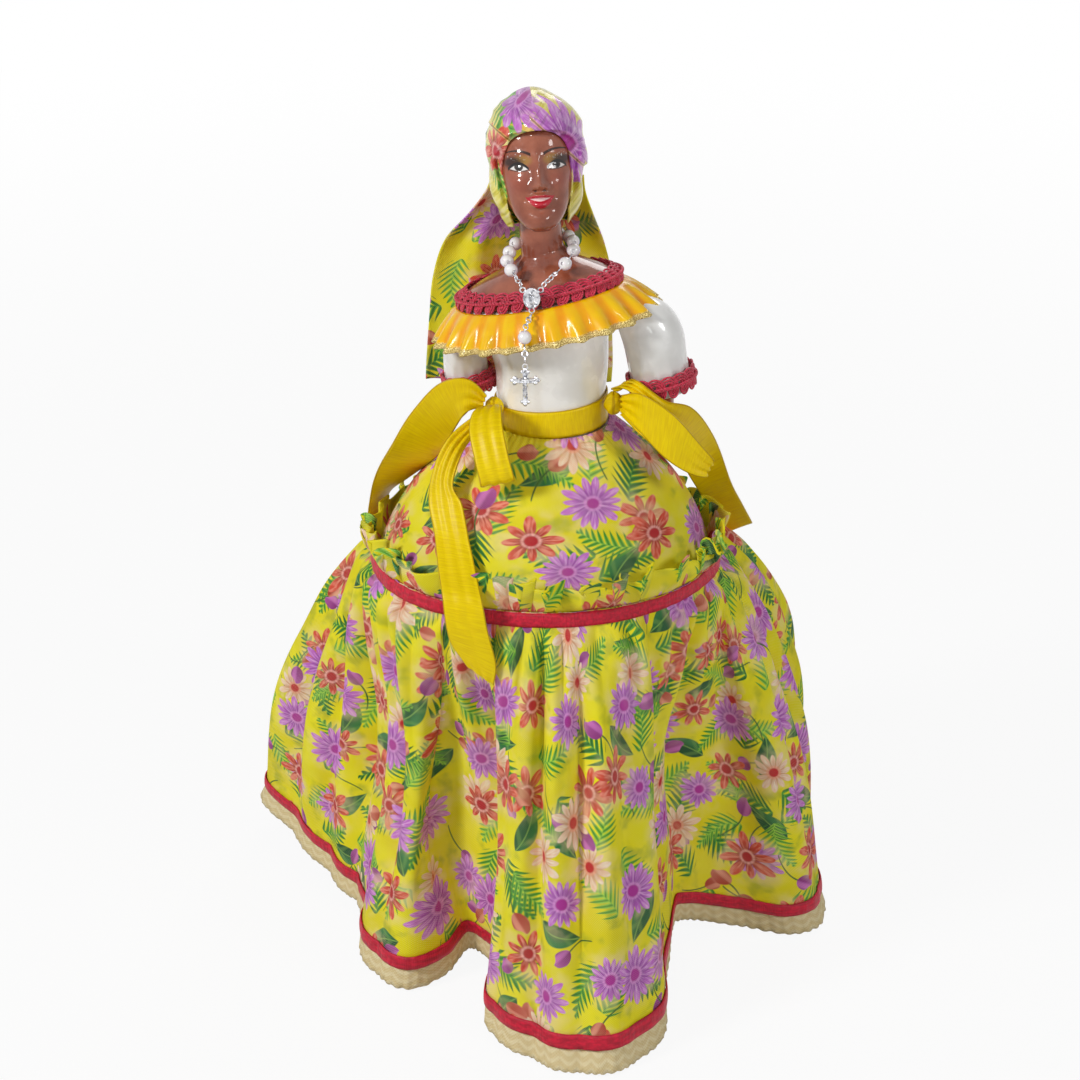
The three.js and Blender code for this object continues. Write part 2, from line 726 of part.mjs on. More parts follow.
function neckShape(offset) {
  const foot = vec(neckFoot);
  const top = vec(neckTop).add(new THREE.Vector3(0, 0, offset));
  const loops = [];
  for (let i = 0; i <= 5; i += 1) {
    const share = i / 5;
    const radius = neckRadius + 1.6 * (1 - share) ** 3 + offset;
    const middle = foot.clone().lerp(top, share);
    loops.push(roundLoop(20, (angle) => new THREE.Vector3(
      middle.x + radius * Math.sin(angle), middle.y - radius * Math.cos(angle), middle.z)));
  }
  return skin(loops, false);
}

function bust() {
  const toHead = head.matrixWorld.clone().invert();
  const chestPiece = skin(torsoLoops(chestHeights, 0), false).applyMatrix4(figure.matrixWorld);
  const headPiece = headShape(0, headColumns, headRows, true);
  return join(headPiece, moved(neckShape(0), toHead), moved(chestPiece, toHead));
}

// Head wrap: cloth bound round the skull and down behind the jaw, open over the face
const wrapStations = [
  [-27, -9, 3, 15, 13.5], [-22, -14, 1, 18.5, 16.8], [-14, -18, -1, 22, 19.4], [-4, -20.5, -2, 24.5, 20.4],
  [6, -22.8, -1, 25.5, 20.8], [14, -22.4, 0, 25, 20.4], [20, -19.4, 1, 22, 18], [26, -13.6, 2, 17, 13.4],
  [30, -6.5, 3, 10.5, 7],
];
const wrapRoom = 1.2;
const faceOpening = [[-34, 12], [-22, 12.6], [-12, 14.4], [0, 15.2], [8, 13.4], [13, 9], [15.2, 3.6]];

function wrapShape(offset) {
  const loops = [];
  const rows = 10;
  for (let i = 0; i <= rows; i += 1) {
    const height = mix(wrapStations[0][0] - offset, wrapStations.at(-1)[0] + offset, i / rows);
    const [front, widest, back, halfWidth] = alongStations(wrapStations, height);
    loops.push(roundLoop(wrapColumns, (angle) => {
      const fold = 0.5 * Math.sin(5 * angle + height * 0.34);
      const reach = offset + fold;
      const forward = Math.cos(angle);
      const x = (halfWidth + reach) * Math.sin(angle);
      const y = forward > 0
        ? widest + (front - widest - reach) * forward
        : widest - (back - widest + reach) * forward;
      return new THREE.Vector3(x, y, height);
    }));
  }
  return skin(loops, false);
}

function headWrap() {
  const opening = new THREE.Shape();
  faceOpening.forEach(([height, half], i) => opening[i ? 'lineTo' : 'moveTo'](half, height));
  faceOpening.toReversed().forEach(([height, half]) => opening.lineTo(-half, height));
  const depth = 32;
  const window = new THREE.ExtrudeGeometry(opening, { depth, bevelEnabled: false });
  window.rotateX(Math.PI / 2).translate(0, -6, 0);
  const toHead = head.matrixWorld.clone().invert();
  const headRoom = headShape(wrapRoom, wrapColumns, 13, true);
  return cut(wrapShape(0), headRoom, window, moved(neckShape(clearance), toHead));
}

// Scarf tail: hangs in folds from under the wrap at the nape, behind the collar, to the skirt.
// Each station has its height above the waist, middle, depth at the back and half width.
const scarfStations = [
  [106, -1, 17, 20, 12], [96, -2, 24, 22, 19], [82, -4, 31, 28, 24], [66, -7, 38, 36, 30],
  [46, -8, 43.5, 41, 36], [26, -9, 44, 42, 38], [6, -9.5, 43, 43, 40], [-4, -10, 43, 43, 41],
];

function scarfPoint(share, side, height) {
  const [middle, back, half] = alongStations(scarfStations.map((s) => [-s[0], ...s.slice(1)]), -height);
  const sideways = share * 2 - 1;
  const fold = 2.2 * Math.sin(share * 5.5 * Math.PI + 0.6) * smooth((scarfStations[0][0] - height) / 40);
  const wrapRound = 9 * (1 - smooth((scarfStations[0][0] - height) / 50)) * sideways * sideways;
  const y = back + fold - wrapRound + side * clothThickness / 2;
  return aboveWaist([middle + half * sideways, y, height]);
}

function scarf() {
  const columns = 16;
  const rows = 7;
  const loops = [];
  for (let i = 0; i <= rows; i += 1) {
    const height = mix(scarfStations[0][0], scarfStations.at(-1)[0], i / rows);
    const front = Array.from({ length: columns + 1 }, (_, k) => scarfPoint(k / columns, -1, height));
    const back = Array.from({ length: columns + 1 }, (_, k) => scarfPoint(1 - k / columns, 1, height));
    loops.push([...front, ...back]);
  }
  const points = loops.flat();
  const count = loops[0].length;
  const faces = [];
  for (let i = 0; i < loops.length - 1; i += 1) {
    for (let j = 0; j < count; j += 1) {
      const k = (j + 1) % count;
      faces.push(i * count + j, i * count + k, (i + 1) * count + k);
      faces.push(i * count + j, (i + 1) * count + k, (i + 1) * count + j);
    }
  }
  for (const [row, turn] of [[0, 1], [loops.length - 1, 0]]) {
    for (let k = 0; k < columns; k += 1) {
      const a = row * count + k;
      const b = a + 1;
      const c = row * count + count - 2 - k;
      const d = c + 1;
      faces.push(...(turn ? [a, c, b, a, d, c] : [a, b, c, a, c, d]));
    }
  }
  const sheet = closedMesh(points, faces);
  return cut(sheet, moved(wrapShape(clearance + 0.2), head.matrixWorld), neckShape(clearance));
}

// Waistband and bows. The heights of knots and ribbons count from the waist.
function waistband() {
  const around = (height, offset) => (angle) => torsoPoint(angle, height, offset);
  const outer = waistbandHeights.map((height) => around(height, clearance + ribbonThickness));
  const inner = waistbandHeights.toReversed().map((height) => around(height, clearance));
  return skin(roundLoop(torsoColumns, (angle) => [...outer, ...inner].map((at) => at(angle))), true);
}

function knot(middle, [a, b, c]) {
  const ball = new THREE.SphereGeometry(1, 10, 7);
  ball.scale(a, b, c);
  return ball.translate(...aboveWaist(middle).toArray());
}

const knotHalf = [4.6, 3.4, 5.2];
const leftKnot = [-20.5, -15, 5.6];
const rightKnot = [32.6, -12.4, 7];

const bowPieces = {
  left_bow_side_tail: [
    { at: [-24.8, -18, 10.2], across: [0.3, 0, 0.9], share: 0.3 },
    { at: [-32, -20.5, 13.8], across: [0.05, 0, 1], share: 0.75 },
    { at: [-40, -18, 9.6], across: [-0.4, -0.1, 0.9] },
    { at: [-48.5, -12, -3.5], across: [-0.65, -0.2, 0.75], share: 1.1 },
    { at: [-56.5, -5, -19], across: [-0.9, -0.3, 0.35], share: 1.1 },
    { at: [-68, 13, -40], across: [-0.65, -0.7, 0.3], share: 1.1 },
    { at: [-75, 27, -57], across: [-0.4, -0.9, 0.1] },
    { at: [-76.5, 29, -69], across: [-0.4, -0.9, 0] },
  ],
  left_bow_front_loop: [
    { at: [-20.4, -18.75, 7.8], across: [-1, 0, -0.1], share: 0.3 },
    { at: [-23, -32, 12], across: [-1, 0, -0.2], share: 0.6 },
    { at: [-23.5, -44, 8], across: [-1, 0, -0.2], share: 0.7 },
    { at: [-21, -53, -2], across: [-1, 0, -0.2], share: 0.7 },
    { at: [-18.5, -56.5, -11], across: [-1, 0, -0.2], share: 0.7 },
    { at: [-19, -51, -14], across: [-1, 0, -0.2], share: 0.7 },
    { at: [-21, -45, -6], across: [-1, 0, -0.2], share: 0.65 },
    { at: [-22.5, -36, 1.5], across: [-1, 0, -0.2], share: 0.55 },
    { at: [-20.2, -18.75, 3.6], across: [-1, 0, -0.1], share: 0.25 },
  ],
  left_bow_long_tail: [
    { at: [-24.8, -18.4, 3], across: [-0.8, 0, 0.6], share: 0.3 },
    { at: [-36.5, -30, -4.5], across: [-0.8, 0.3, 0.6], share: 0.4 },
    { at: [-42.5, -38, -17], across: [-0.7, 0.7, 0.3], share: 0.6 },
    { at: [-41.5, -46, -26.5], across: [-0.85, 0.3, 0], share: 0.75 },
    { at: [-38.5, -58, -38], across: [-0.9, 0.4, 0], share: 0.8 },
    { at: [-36, -72, -47], across: [-1, 0.2, 0], share: 0.8 },
    { at: [-33.5, -82.5, -54.5], across: [-1, 0.2, 0.1], share: 0.85 },
    { at: [-31.5, -86, -67], across: [-1, 0.1, 0.2], share: 0.9 },
    { at: [-28.5, -87.5, -80], across: [-0.9, 0.1, 0.4] },
    { at: [-26, -88, -90], across: [-0.8, 0.1, 0.6], share: 0.7 },
  ],
  right_bow_front_loop: [
    { at: [35.8, -16, 8.5], across: [0, 0, 1], share: 0.35 },
    { at: [44, -32.5, 10.5], across: [0, 0, 1], share: 0.85 },
    { at: [56, -39, 2.5], across: [0.15, 0, 1] },
    { at: [68, -38, -9], across: [0.3, 0, 1], share: 0.7 },
    { at: [75, -35, -15], across: [0.4, 0, 0.9], share: 0.4 },
    { at: [68.5, -33, -11.5], across: [0.4, 0, 0.9], share: 0.5 },
    { at: [56, -32, -2], across: [0.3, 0, 1], share: 0.65 },
    { at: [45, -29.4, 3.5], across: [0.2, 0, 1], share: 0.45 },
    { at: [36.8, -15.4, 3.8], across: [0.1, 0, 1], share: 0.2 },
  ],
  right_bow_back_tail: [
    { at: [33.8, -12, 13.6], across: [1, 0, 0.2], share: 0.2 },
    { at: [38.5, -19.5, 19], across: [0.5, 0, 0.8], share: 0.25 },
    { at: [45, -27.2, 18], across: [0, 0, 1], share: 0.35 },
    { at: [54, -27.6, 8], across: [0.25, 0, 1], share: 0.6 },
    { at: [62.5, -21, 0], across: [0.5, 0, 0.85], share: 0.9 },
    { at: [71, -4, -18.5], across: [0.65, -0.2, 0.75] },
    { at: [81, 21, -48], across: [0.55, -0.6, 0.55], share: 1.1 },
    { at: [88, 38, -68], across: [0.6, -0.6, 0.55], share: 1.1 },
    { at: [94, 51, -84], across: [0.7, -0.5, 0.55] },
  ],
};

// Rosary: a loop of beads on a wire, laid round the neck, with a centre medal, drop and cross
const medalEars = [-1, 1].map((side) => vec(medalCentre).add(
  new THREE.Vector3(side * (medalHalf[0] + 0.2), 0, medalHalf[1] - 1)));
const neckPoints = [
  [-12.6, -16.4, 25], [-14.4, -9.2, 26.6], [-13.4, -1.8, 28], [-10.7, 5.7, 29.4],
  [-6, 11.6, 30.8], [1.35, 13.7, 31.6], [8.3, 11.4, 32.2], [12.6, 6.2, 32.6], [14.4, -0.7, 32.6],
  [14.6, -8.2, 31.2], [10.9, -17.4, 28.2],
].map(aboveShoulders);

// A place just clear of a ring's wire, on the way from the ring to the next piece
function clearOf(wirePlace, next) {
  const way = next.clone().sub(wirePlace).normalize();
  return wirePlace.clone().addScaledVector(way, 1.5 * linkWire + clearance);
}

const strandPoints = [
  clearOf(medalEars[0].clone().add(new THREE.Vector3(0, 0, earRing)), neckPoints[0]).toArray(),
  ...neckPoints.map((point) => point.toArray()),
  clearOf(medalEars[1].clone().add(new THREE.Vector3(0, 0, earRing)), neckPoints.at(-1)).toArray(),
];
const beadPlaces = { first: 1, last: strandPoints.length - 2 };
const strandCurve = new THREE.CatmullRomCurve3(strandPoints.map(vec), false, 'catmullrom', 0.5);

function bead(bore) {
  const reach = Math.acos(bore / beadRadius);
  const outline = [];
  for (let i = 0; i <= 5; i += 1) {
    const angle = mix(-reach, reach, i / 5);
    outline.push(new THREE.Vector2(beadRadius * Math.cos(angle), beadRadius * Math.sin(angle)));
  }
  outline.push(outline[0].clone());
  return new THREE.LatheGeometry(outline, 8);
}

function loopBead(index) {
  const share = index / (strandPoints.length - 1);
  const mesh = place(`rosary_bead_${index}`, 'pearl', bead(beadBore));
  mesh.position.copy(strandCurve.getPoint(share));
  mesh.quaternion.setFromUnitVectors(new THREE.Vector3(0, 1, 0), strandCurve.getTangent(share).normalize());
}

// The wire through the beads, with rows of links from the outer beads to the medal
function strand() {
  const count = strandPoints.length - 1;
  const shares = Array.from({ length: 45 }, (_, i) => mix(0.5 / count, 1 - 0.5 / count, i / 44));
  const wire = tube(shares.map((share) => strandCurve.getPoint(share).toArray()), strandRadius, 26, 5);
  const up = new THREE.Vector3(0, 0, 1);
  const links = [[0, 0.6 / count], [1, 1 - 0.6 / count]].flatMap(([end, inner]) => chain(
    strandCurve.getPoint(end), strandCurve.getPoint(inner), up));
  return join(wire, ...links);
}

const lateral = new THREE.Vector3(1, 0, 0);
const upright = new THREE.Vector3(0, 0, 1);
const forwardWay = new THREE.Vector3(0, -1, 0);
const medalRing = vec(medalCentre).add(new THREE.Vector3(0, 0, -medalHalf[1] - earRing + 0.1));

function medal() {
  const outline = new THREE.Shape();
  outline.absellipse(0, 0, medalHalf[0], medalHalf[1], 0, fullTurn);
  const facets = { bevelEnabled: false, curveSegments: 14 };
  const plate = new THREE.ExtrudeGeometry(outline, { depth: medalThickness, ...facets });
  plate.rotateX(Math.PI / 2).translate(0, medalThickness / 2, 0);
  const panel = new THREE.Shape();
  panel.absellipse(0, 0, medalHalf[0] - medalRim, medalHalf[1] - medalRim, 0, fullTurn);
  const recess = new THREE.ExtrudeGeometry(panel, { depth: medalThickness, ...facets });
  recess.rotateX(Math.PI / 2).translate(0, medalSunk - medalThickness / 2, 0);
  const dished = cut(plate, recess);
  dished.translate(...medalCentre);
  const ears = medalEars.map((ear) => wireRing(ear, upright, lateral, earRing, earRing, linkWire));
  return join(dished, ...ears, wireRing(medalRing, upright, lateral, earRing, earRing, linkWire));
}

// The drop: links from the medal's ring to the bead's pin, and on to the cross
function drop() {
  const middle = vec(dropBead);
  const reach = beadRadius + linkWire + clearance;
  const above = middle.clone().addScaledVector(upright, reach);
  const below = middle.clone().addScaledVector(upright, -reach);
  const upperStart = clearOf(medalRing.clone().addScaledVector(upright, -earRing), above);
  const lowerStart = clearOf(vec(crossBail).addScaledVector(upright, earRing), below);
  const pin = tube([below.toArray(), middle.toArray(), above.toArray()], strandRadius, 4, 6);
  return join(pin, ...chain(upperStart, above, forwardWay), ...chain(lowerStart, below, forwardWay));
}

function cross() {
  const parts = [];
  const bar = (width, height, x, z) => {
    const box = new THREE.BoxGeometry(width, crossDepth, height);
    box.translate(x, 0, z);
    parts.push(box);
  };
  const budRadius = crossBar * 0.95;
  const budSpread = budRadius * 1.1;
  const bud = (x, z) => {
    const disc = new THREE.CylinderGeometry(budRadius, budRadius, crossDepth + 0.3, 6);
    disc.translate(x, 0, z);
    parts.push(disc);
  };
  const middle = -earRing - linkWire - crossTopArm;
  bar(2 * crossBar, crossTopArm + crossFoot, 0, middle + (crossTopArm - crossFoot) / 2);
  bar(2 * crossHalfWidth, 2 * crossBar, 0, middle);
  for (const [dx, dz, length] of [[1, 0, crossHalfWidth], [-1, 0, crossHalfWidth], [0, 1, crossTopArm],
    [0, -1, crossFoot]]) {
    bud(dx * length, middle + dz * length);
    for (const side of [-budSpread, budSpread]) {
      bud(dx * (length - budRadius) + dz * side, middle + dz * (length - budRadius) + dx * side);
    }
  }
  parts.push(wireRing(new THREE.Vector3(), upright, lateral, earRing, earRing, linkWire));
  return join(...parts).translate(...crossBail);
}

// Assembly
place('stand_base', 'wood', standBase());
place('stand_post', 'wood', standPost());
place('hip_form', 'foam', hipForm());
place('upper_skirt', 'print', upperSkirt());
place('header_frill', 'print', headerFrill());
place('tier_ribbon', 'crimson', tierRibbon());
place('lower_skirt', 'print', lowerSkirt());
place('hem_ribbon', 'crimson', hemRibbon());
place('hem_lace', 'lace', hemLace());
place('bodice', 'white', bodice(), figure);
place('waistband', 'satin', waistband(), figure);
place('neckline_braid', 'crimson', braidBand(), figure);
place('collar_ruffle', 'gold', collar(0), chest);
for (const side of Object.keys(armSides)) {
  place(`${side}_sleeve`, 'white', sleeve(side), chest);
  place(`${side}_cuff_braid`, 'crimson', cuffBraid(side), chest);
  place(`${side}_arm`, 'skin', arm(side));
}
place('figure_bust', 'skin', bust(), head);
place('head_wrap', 'print', headWrap(), head);
place('scarf_tail', 'print', scarf());
place('left_bow_knot', 'satin', knot(leftKnot, knotHalf));
place('right_bow_knot', 'satin', knot(rightKnot, knotHalf));
for (const [name, stations] of Object.entries(bowPieces)) {
  place(name, 'satin', ribbon(stations, ribbonWidth, ribbonSteps));
}
for (let i = beadPlaces.first; i <= beadPlaces.last; i += 1) {
  loopBead(i);
}
place('rosary_strand', 'silver', strand());
place('rosary_medal', 'silver', medal());
place('rosary_drop', 'silver', drop());
place('rosary_cross', 'silver', cross());
const hangingBead = place('rosary_drop_bead', 'pearl', bead(strandRadius + 1.5 * clearance));
hangingBead.rotation.x = Math.PI / 2;
hangingBead.position.set(...dropBead);

export default doll;
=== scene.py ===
# Costume doll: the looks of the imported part. +Z up, the doll faces -Y.
# Camera, floor and lamps are in metres, the doll's own tables in millimetres.
import math

import bpy
import numpy as np
from mathutils import Euler, Matrix, Vector


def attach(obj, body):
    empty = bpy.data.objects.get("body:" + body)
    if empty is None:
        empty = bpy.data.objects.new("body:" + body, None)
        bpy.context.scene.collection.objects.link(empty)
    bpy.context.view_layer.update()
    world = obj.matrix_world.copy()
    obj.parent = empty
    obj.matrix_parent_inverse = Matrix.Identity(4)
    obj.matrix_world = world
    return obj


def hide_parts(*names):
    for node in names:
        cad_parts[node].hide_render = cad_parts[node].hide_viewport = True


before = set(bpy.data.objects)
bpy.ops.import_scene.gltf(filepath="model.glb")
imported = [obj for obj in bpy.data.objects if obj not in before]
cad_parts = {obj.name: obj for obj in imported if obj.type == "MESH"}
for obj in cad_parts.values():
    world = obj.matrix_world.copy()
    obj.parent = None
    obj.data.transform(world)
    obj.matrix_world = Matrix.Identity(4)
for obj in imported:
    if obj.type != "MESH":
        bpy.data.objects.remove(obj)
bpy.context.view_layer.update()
print("frame loaded")

mm = 0.001
fullTurn = 2 * math.pi

# Camera, floor and light
view = {"place": (0, -1.178, 0.749), "aim": (0, 0, 0.2), "lens": 94.2}
lamps = {
    "key": {"place": (-1.15, -0.75, 1.15), "size": 0.35, "power": 16},
    "fill": {"place": (1.15, -0.85, 0.85), "size": 0.4, "power": 6},
    "front": {"place": (0.15, -1.5, 0.45), "size": 0.3, "power": 1},
    "back": {"place": (0.35, 1.1, 1.05), "size": 0.6, "power": 4},
    "glint": {"place": (-0.25, -0.95, 1.3), "size": 0.06, "power": 1},
}
roomLight = {"aim": (0, 0, 0.22), "strength": 0.13, "floorWhite": 0.92, "fadeFrom": 0.5, "fadeTo": 1.6}


def towards(place, aim):
    return (Vector(aim) - Vector(place)).to_track_quat("-Z", "Y")


def added(name, data):
    thing = bpy.data.objects.new(name, data)
    bpy.context.scene.collection.objects.link(thing)
    return thing


def begin(operator, **settings):
    bpy.ops.object.select_all(action="DESELECT")
    operator(**settings)
    return bpy.context.object


def aimed(name, data, place, aim):
    thing = added(name, data)
    thing.location = place
    thing.rotation_mode = "QUATERNION"
    thing.rotation_quaternion = towards(place, aim)
    return thing


lens = bpy.data.cameras.new("camera")
lens.lens = view["lens"]
lens.sensor_width = 36
lens.clip_start, lens.clip_end = 0.01, 50
bpy.context.scene.camera = aimed("camera", lens, view["place"], view["aim"])
bpy.context.scene.view_settings.view_transform = "Standard"

for name, lamp in lamps.items():
    light = bpy.data.lights.new(name, "AREA")
    light.shape = "DISK"
    light.size = lamp["size"]
    light.energy = lamp["power"]
    aimed(name, light, lamp["place"], roomLight["aim"])


# Shader maths: colours come as "#RRGGBB"
def shade(code):
    parts = [int(code[i:i + 2], 16) / 255 for i in (1, 3, 5)]
    return [c / 12.92 if c <= 0.04045 else ((c + 0.055) / 1.055) ** 2.4 for c in parts] + [1]


class Wire:
    def __init__(self, paint, socket):
        self.paint, self.socket = paint, socket

    def out(self, name):
        return Wire(self.paint, self.socket.node.outputs[name])

    def maths(self, operation, *values):
        return self.paint.add("Math", {"operation": operation}, dict(enumerate(values)))

    def __add__(self, other):
        return self.maths("ADD", self, other)

    def __radd__(self, other):
        return self.maths("ADD", other, self)

    def __sub__(self, other):
        return self.maths("SUBTRACT", self, other)

    def __rsub__(self, other):
        return self.maths("SUBTRACT", other, self)

    def __mul__(self, other):
        return self.maths("MULTIPLY", self, other)

    def __rmul__(self, other):
        return self.maths("MULTIPLY", other, self)

    def __truediv__(self, other):
        return self.maths("DIVIDE", self, other)

    def __pow__(self, other):
        return self.maths("POWER", self, other)

    def __neg__(self):
        return self.maths("MULTIPLY", self, -1)

    def __gt__(self, other):
        return self.maths("GREATER_THAN", self, other)

    def __lt__(self, other):
        return self.maths("LESS_THAN", self, other)

    def sin(self):
        return self.maths("SINE", self)

    def cos(self):
        return self.maths("COSINE", self)

    def abs(self):
        return self.maths("ABSOLUTE", self)

    def fraction(self):
        return self.maths("FRACT", self)

    def floor(self):
        return self.maths("FLOOR", self)

    def root(self):
        return self.maths("SQRT", self.maths("MAXIMUM", self, 0))

    def atLeast(self, other):
        return self.maths("MAXIMUM", self, other)

    def atMost(self, other):
        return self.maths("MINIMUM", self, other)

    def between(self, low, high):  # 0 at low, 1 at high, smooth between
        return self.paint.add("MapRange", {"interpolation_type": "SMOOTHSTEP"}, {0: self, 1: low, 2: high})


class Nodes:
    def __init__(self, holder, shader):
        holder.use_nodes = True
        self.tree = holder.node_tree
        self.shader = self.tree.nodes[shader]

    def link(self, value, socket):
        if isinstance(value, Wire):
            self.tree.links.new(value.socket, socket)
        else:
            socket.default_value = value

    def set(self, socket, value):
        self.link(value, self.shader.inputs[socket])

    def add(self, kind, settings=None, inputs=None, output=0):
        node = self.tree.nodes.new("ShaderNode" + kind)
        for key, value in (settings or {}).items():
            setattr(node, key, value)
        for key, value in (inputs or {}).items():
            self.link(value, node.inputs[key])
        return Wire(self, node.outputs[output])

    def seenRays(self):  # 1 for what the camera sees, straight, in a reflection or through glass
        rays = self.add("LightPath")
        return rays.atLeast(rays.out("Is Glossy Ray")).atLeast(rays.out("Is Transmission Ray"))


class Paint(Nodes):
    def __init__(self, name, **constants):
        self.material = bpy.data.materials.new(name)
        super().__init__(self.material, "Principled BSDF")
        for socket, value in constants.items():
            self.set(socket.replace("_", " "), value)

    def blend(self, low, high, amount, how="MIX"):
        low, high = [shade(c) if isinstance(c, str) else c for c in (low, high)]
        return self.add("Mix", {"data_type": "RGBA", "blend_type": how}, {0: amount, 6: low, 7: high}, 2)

    def vector(self, operation, *values):
        return self.add("VectorMath", {"operation": operation}, dict(enumerate(values)))

    def point(self, x, y, z=0):
        return self.add("CombineXYZ", None, {0: x, 1: y, 2: z})

    def sides(self, vector):
        x = self.add("SeparateXYZ", None, {0: vector})
        return x, x.out("Y"), x.out("Z")

    def noise(self, vector, scale, detail=2, rough=0.5):
        inputs = {"Vector": vector, "Scale": scale, "Detail": detail, "Roughness": rough}
        return self.add("TexNoise", None, inputs)

    def bump(self, height, strength, distance, under=None):
        inputs = {"Strength": strength, "Distance": distance, "Height": height}
        if under:
            inputs["Normal"] = under
        return self.add("Bump", None, inputs)

    def cutPlace(self):  # the piece's own cut, in millimetres
        return self.scaled(self.add("TexCoord", None, None, "UV"), 1000)

    def scaled(self, vector, factor):
        return self.add("VectorMath", {"operation": "SCALE"}, {0: vector, 3: factor})

    def bodyPlace(self):  # where a point is on the doll, in millimetres
        return self.scaled(self.add("TexCoord", None, None, "Object"), 1000)


world = bpy.data.worlds.new("room")
bpy.context.scene.world = world
air = Nodes(world, "Background")
air.set("Color", (1, 1, 1, 1))
air.set("Strength", air.add("MapRange", None, {0: air.seenRays(), 3: roomLight["strength"], 4: 1}))

floorPaint = Paint("floor", Base_Color=(0.72, 0.72, 0.72, 1), Roughness=0.9)
glow = floorPaint.add("Emission", None, {"Color": (1, 1, 1, 1), "Strength": 1})
floorX, floorY, _ = floorPaint.sides(floorPaint.add("TexCoord", None, None, "Object"))
far = (floorX * floorX + floorY * floorY).root().between(roomLight["fadeFrom"], roomLight["fadeTo"])
lit = roomLight["floorWhite"] + far * (1 - roomLight["floorWhite"])  # far floor runs into the backdrop
mixed = floorPaint.add("MixShader", None, {0: floorPaint.seenRays() * lit, 2: glow})
floorPaint.tree.links.new(floorPaint.shader.outputs[0], mixed.socket.node.inputs[1])
floorPaint.tree.links.new(mixed.socket, floorPaint.tree.nodes["Material Output"].inputs[0])
floor = begin(bpy.ops.mesh.primitive_plane_add, size=12, location=(0, 0, -0.0003))
floor.name = "floor"
floor.data.materials.append(floorPaint.material)
print("camera, floor and lamps set")


# Curves and grids
def smooth(t):
    s = np.clip(t, 0, 1)
    return s * s * (3 - 2 * s)


def mix(a, b, t):
    return a + (b - a) * t


# A smooth curve through points, read at shares from 0 to 1
def curveThrough(points, closed=False):
    points = np.array(points, float).reshape(len(points), -1)
    count = len(points)
    ring = points if closed else np.vstack([2 * points[0] - points[1], points, 2 * points[-1] - points[-2]])

    def at(share):
        share = np.asarray(share, float)
        place = (share % 1) * count if closed else np.clip(share, 0, 1) * (count - 1)
        i = np.floor(place).astype(int) if closed else np.minimum(np.floor(place).astype(int), count - 2)
        t = (place - i)[..., None]
        a, b, c, d = [ring[(i + k - 1) % count] if closed else ring[i + k] for k in range(4)]
        return 0.5 * (2 * b + (c - a) * t + (2 * a - 5 * b + 4 * c - d) * t ** 2
                      + (3 * b - a - 3 * c + d) * t ** 3)

    return at


# Values of a smooth curve through stations [position, ...values]
def alongStations(stations, position):
    rows = np.array(stations, float)
    spots, position = rows[:, 0], np.asarray(position, float)
    i = np.clip(np.searchsorted(spots, position, side="left") - 1, 0, len(spots) - 2)
    j, before, after = i + 1, np.maximum(i - 1, 0), np.minimum(i + 2, len(spots) - 1)
    span = spots[j] - spots[i]
    t = np.clip((position - spots[i]) / span, 0, 1)[..., None]
    rise = (rows[j, 1:] - rows[before, 1:]) * (span / np.maximum(spots[j] - spots[before], 1e-6))[..., None]
    fall = (rows[after, 1:] - rows[i, 1:]) * (span / np.maximum(spots[after] - spots[i], 1e-6))[..., None]
    h, c = t * t, t * t * t
    ways = ((2 * c - 3 * h + 1) * rows[i, 1:] + (c - 2 * h + t) * rise + (3 * h - 2 * c) * rows[j, 1:]
            + (c - h) * fall)
    return np.moveaxis(ways, -1, 0)


def stack(x, y, z):
    return np.stack(np.broadcast_arrays(x, y, z), -1).astype(float)


def unit(v):
    return v / np.maximum(np.linalg.norm(v, axis=-1, keepdims=True), 1e-9)


def moved(points, matrix):
    m = np.array(matrix)
    return points @ m[:3, :3].T + m[:3, 3]


def only(*pieces):
    bpy.ops.object.select_all(action="DESELECT")
    for piece in pieces:
        piece.select_set(True)
    bpy.context.view_layer.objects.active = pieces[0]


# A grid of points laid where place(across, down) says, in millimetres. cut gives its flat pattern.
# closed joins its two sides, capped its ends too.
def laidGrid(name, columns, rows, place, cut=None, closed=False, capped=False):
    piece = begin(bpy.ops.mesh.primitive_grid_add, x_subdivisions=columns, y_subdivisions=rows, size=2)
    piece.name = piece.data.name = name
    mesh = piece.data
    spots = np.empty(len(mesh.vertices) * 3)
    mesh.vertices.foreach_get("co", spots)
    spots = spots.reshape(-1, 3)
    mesh.vertices.foreach_set("co", (place((spots[:, 0] + 1) / 2, (1 - spots[:, 1]) / 2) * mm).ravel())
    layer = mesh.uv_layers.active
    uv = np.empty(len(layer.data) * 2)
    layer.data.foreach_get("uv", uv)
    uv = uv.reshape(-1, 2)
    if cut:
        uv = np.stack(cut(uv[:, 0], 1 - uv[:, 1]), -1) * mm
        layer.data.foreach_set("uv", uv.ravel())
    bpy.ops.object.mode_set(mode="EDIT")
    bpy.ops.mesh.select_all(action="SELECT")
    if closed or capped:
        bpy.ops.mesh.remove_doubles(threshold=2e-6)
    if capped:
        bpy.ops.mesh.normals_make_consistent(inside=False)
    bpy.ops.object.mode_set(mode="OBJECT")
    bpy.ops.object.shade_smooth()
    return piece


def thicken(piece, thickness, offset=0):
    wall = piece.modifiers.new("wall", "SOLIDIFY")
    wall.thickness = thickness
    wall.offset = offset
    wall.use_rim = True
    apply(piece, "wall")


def apply(piece, *names):
    only(piece)
    for name in names:
        bpy.ops.object.modifier_apply(modifier=name)


def clothPiece(name, look, place, cut, closed=True, offset=0):
    piece = laidGrid(name, look["columns"], look["rows"], place, cut, closed)
    thicken(piece, look["thickness"] * mm, offset)
    return piece


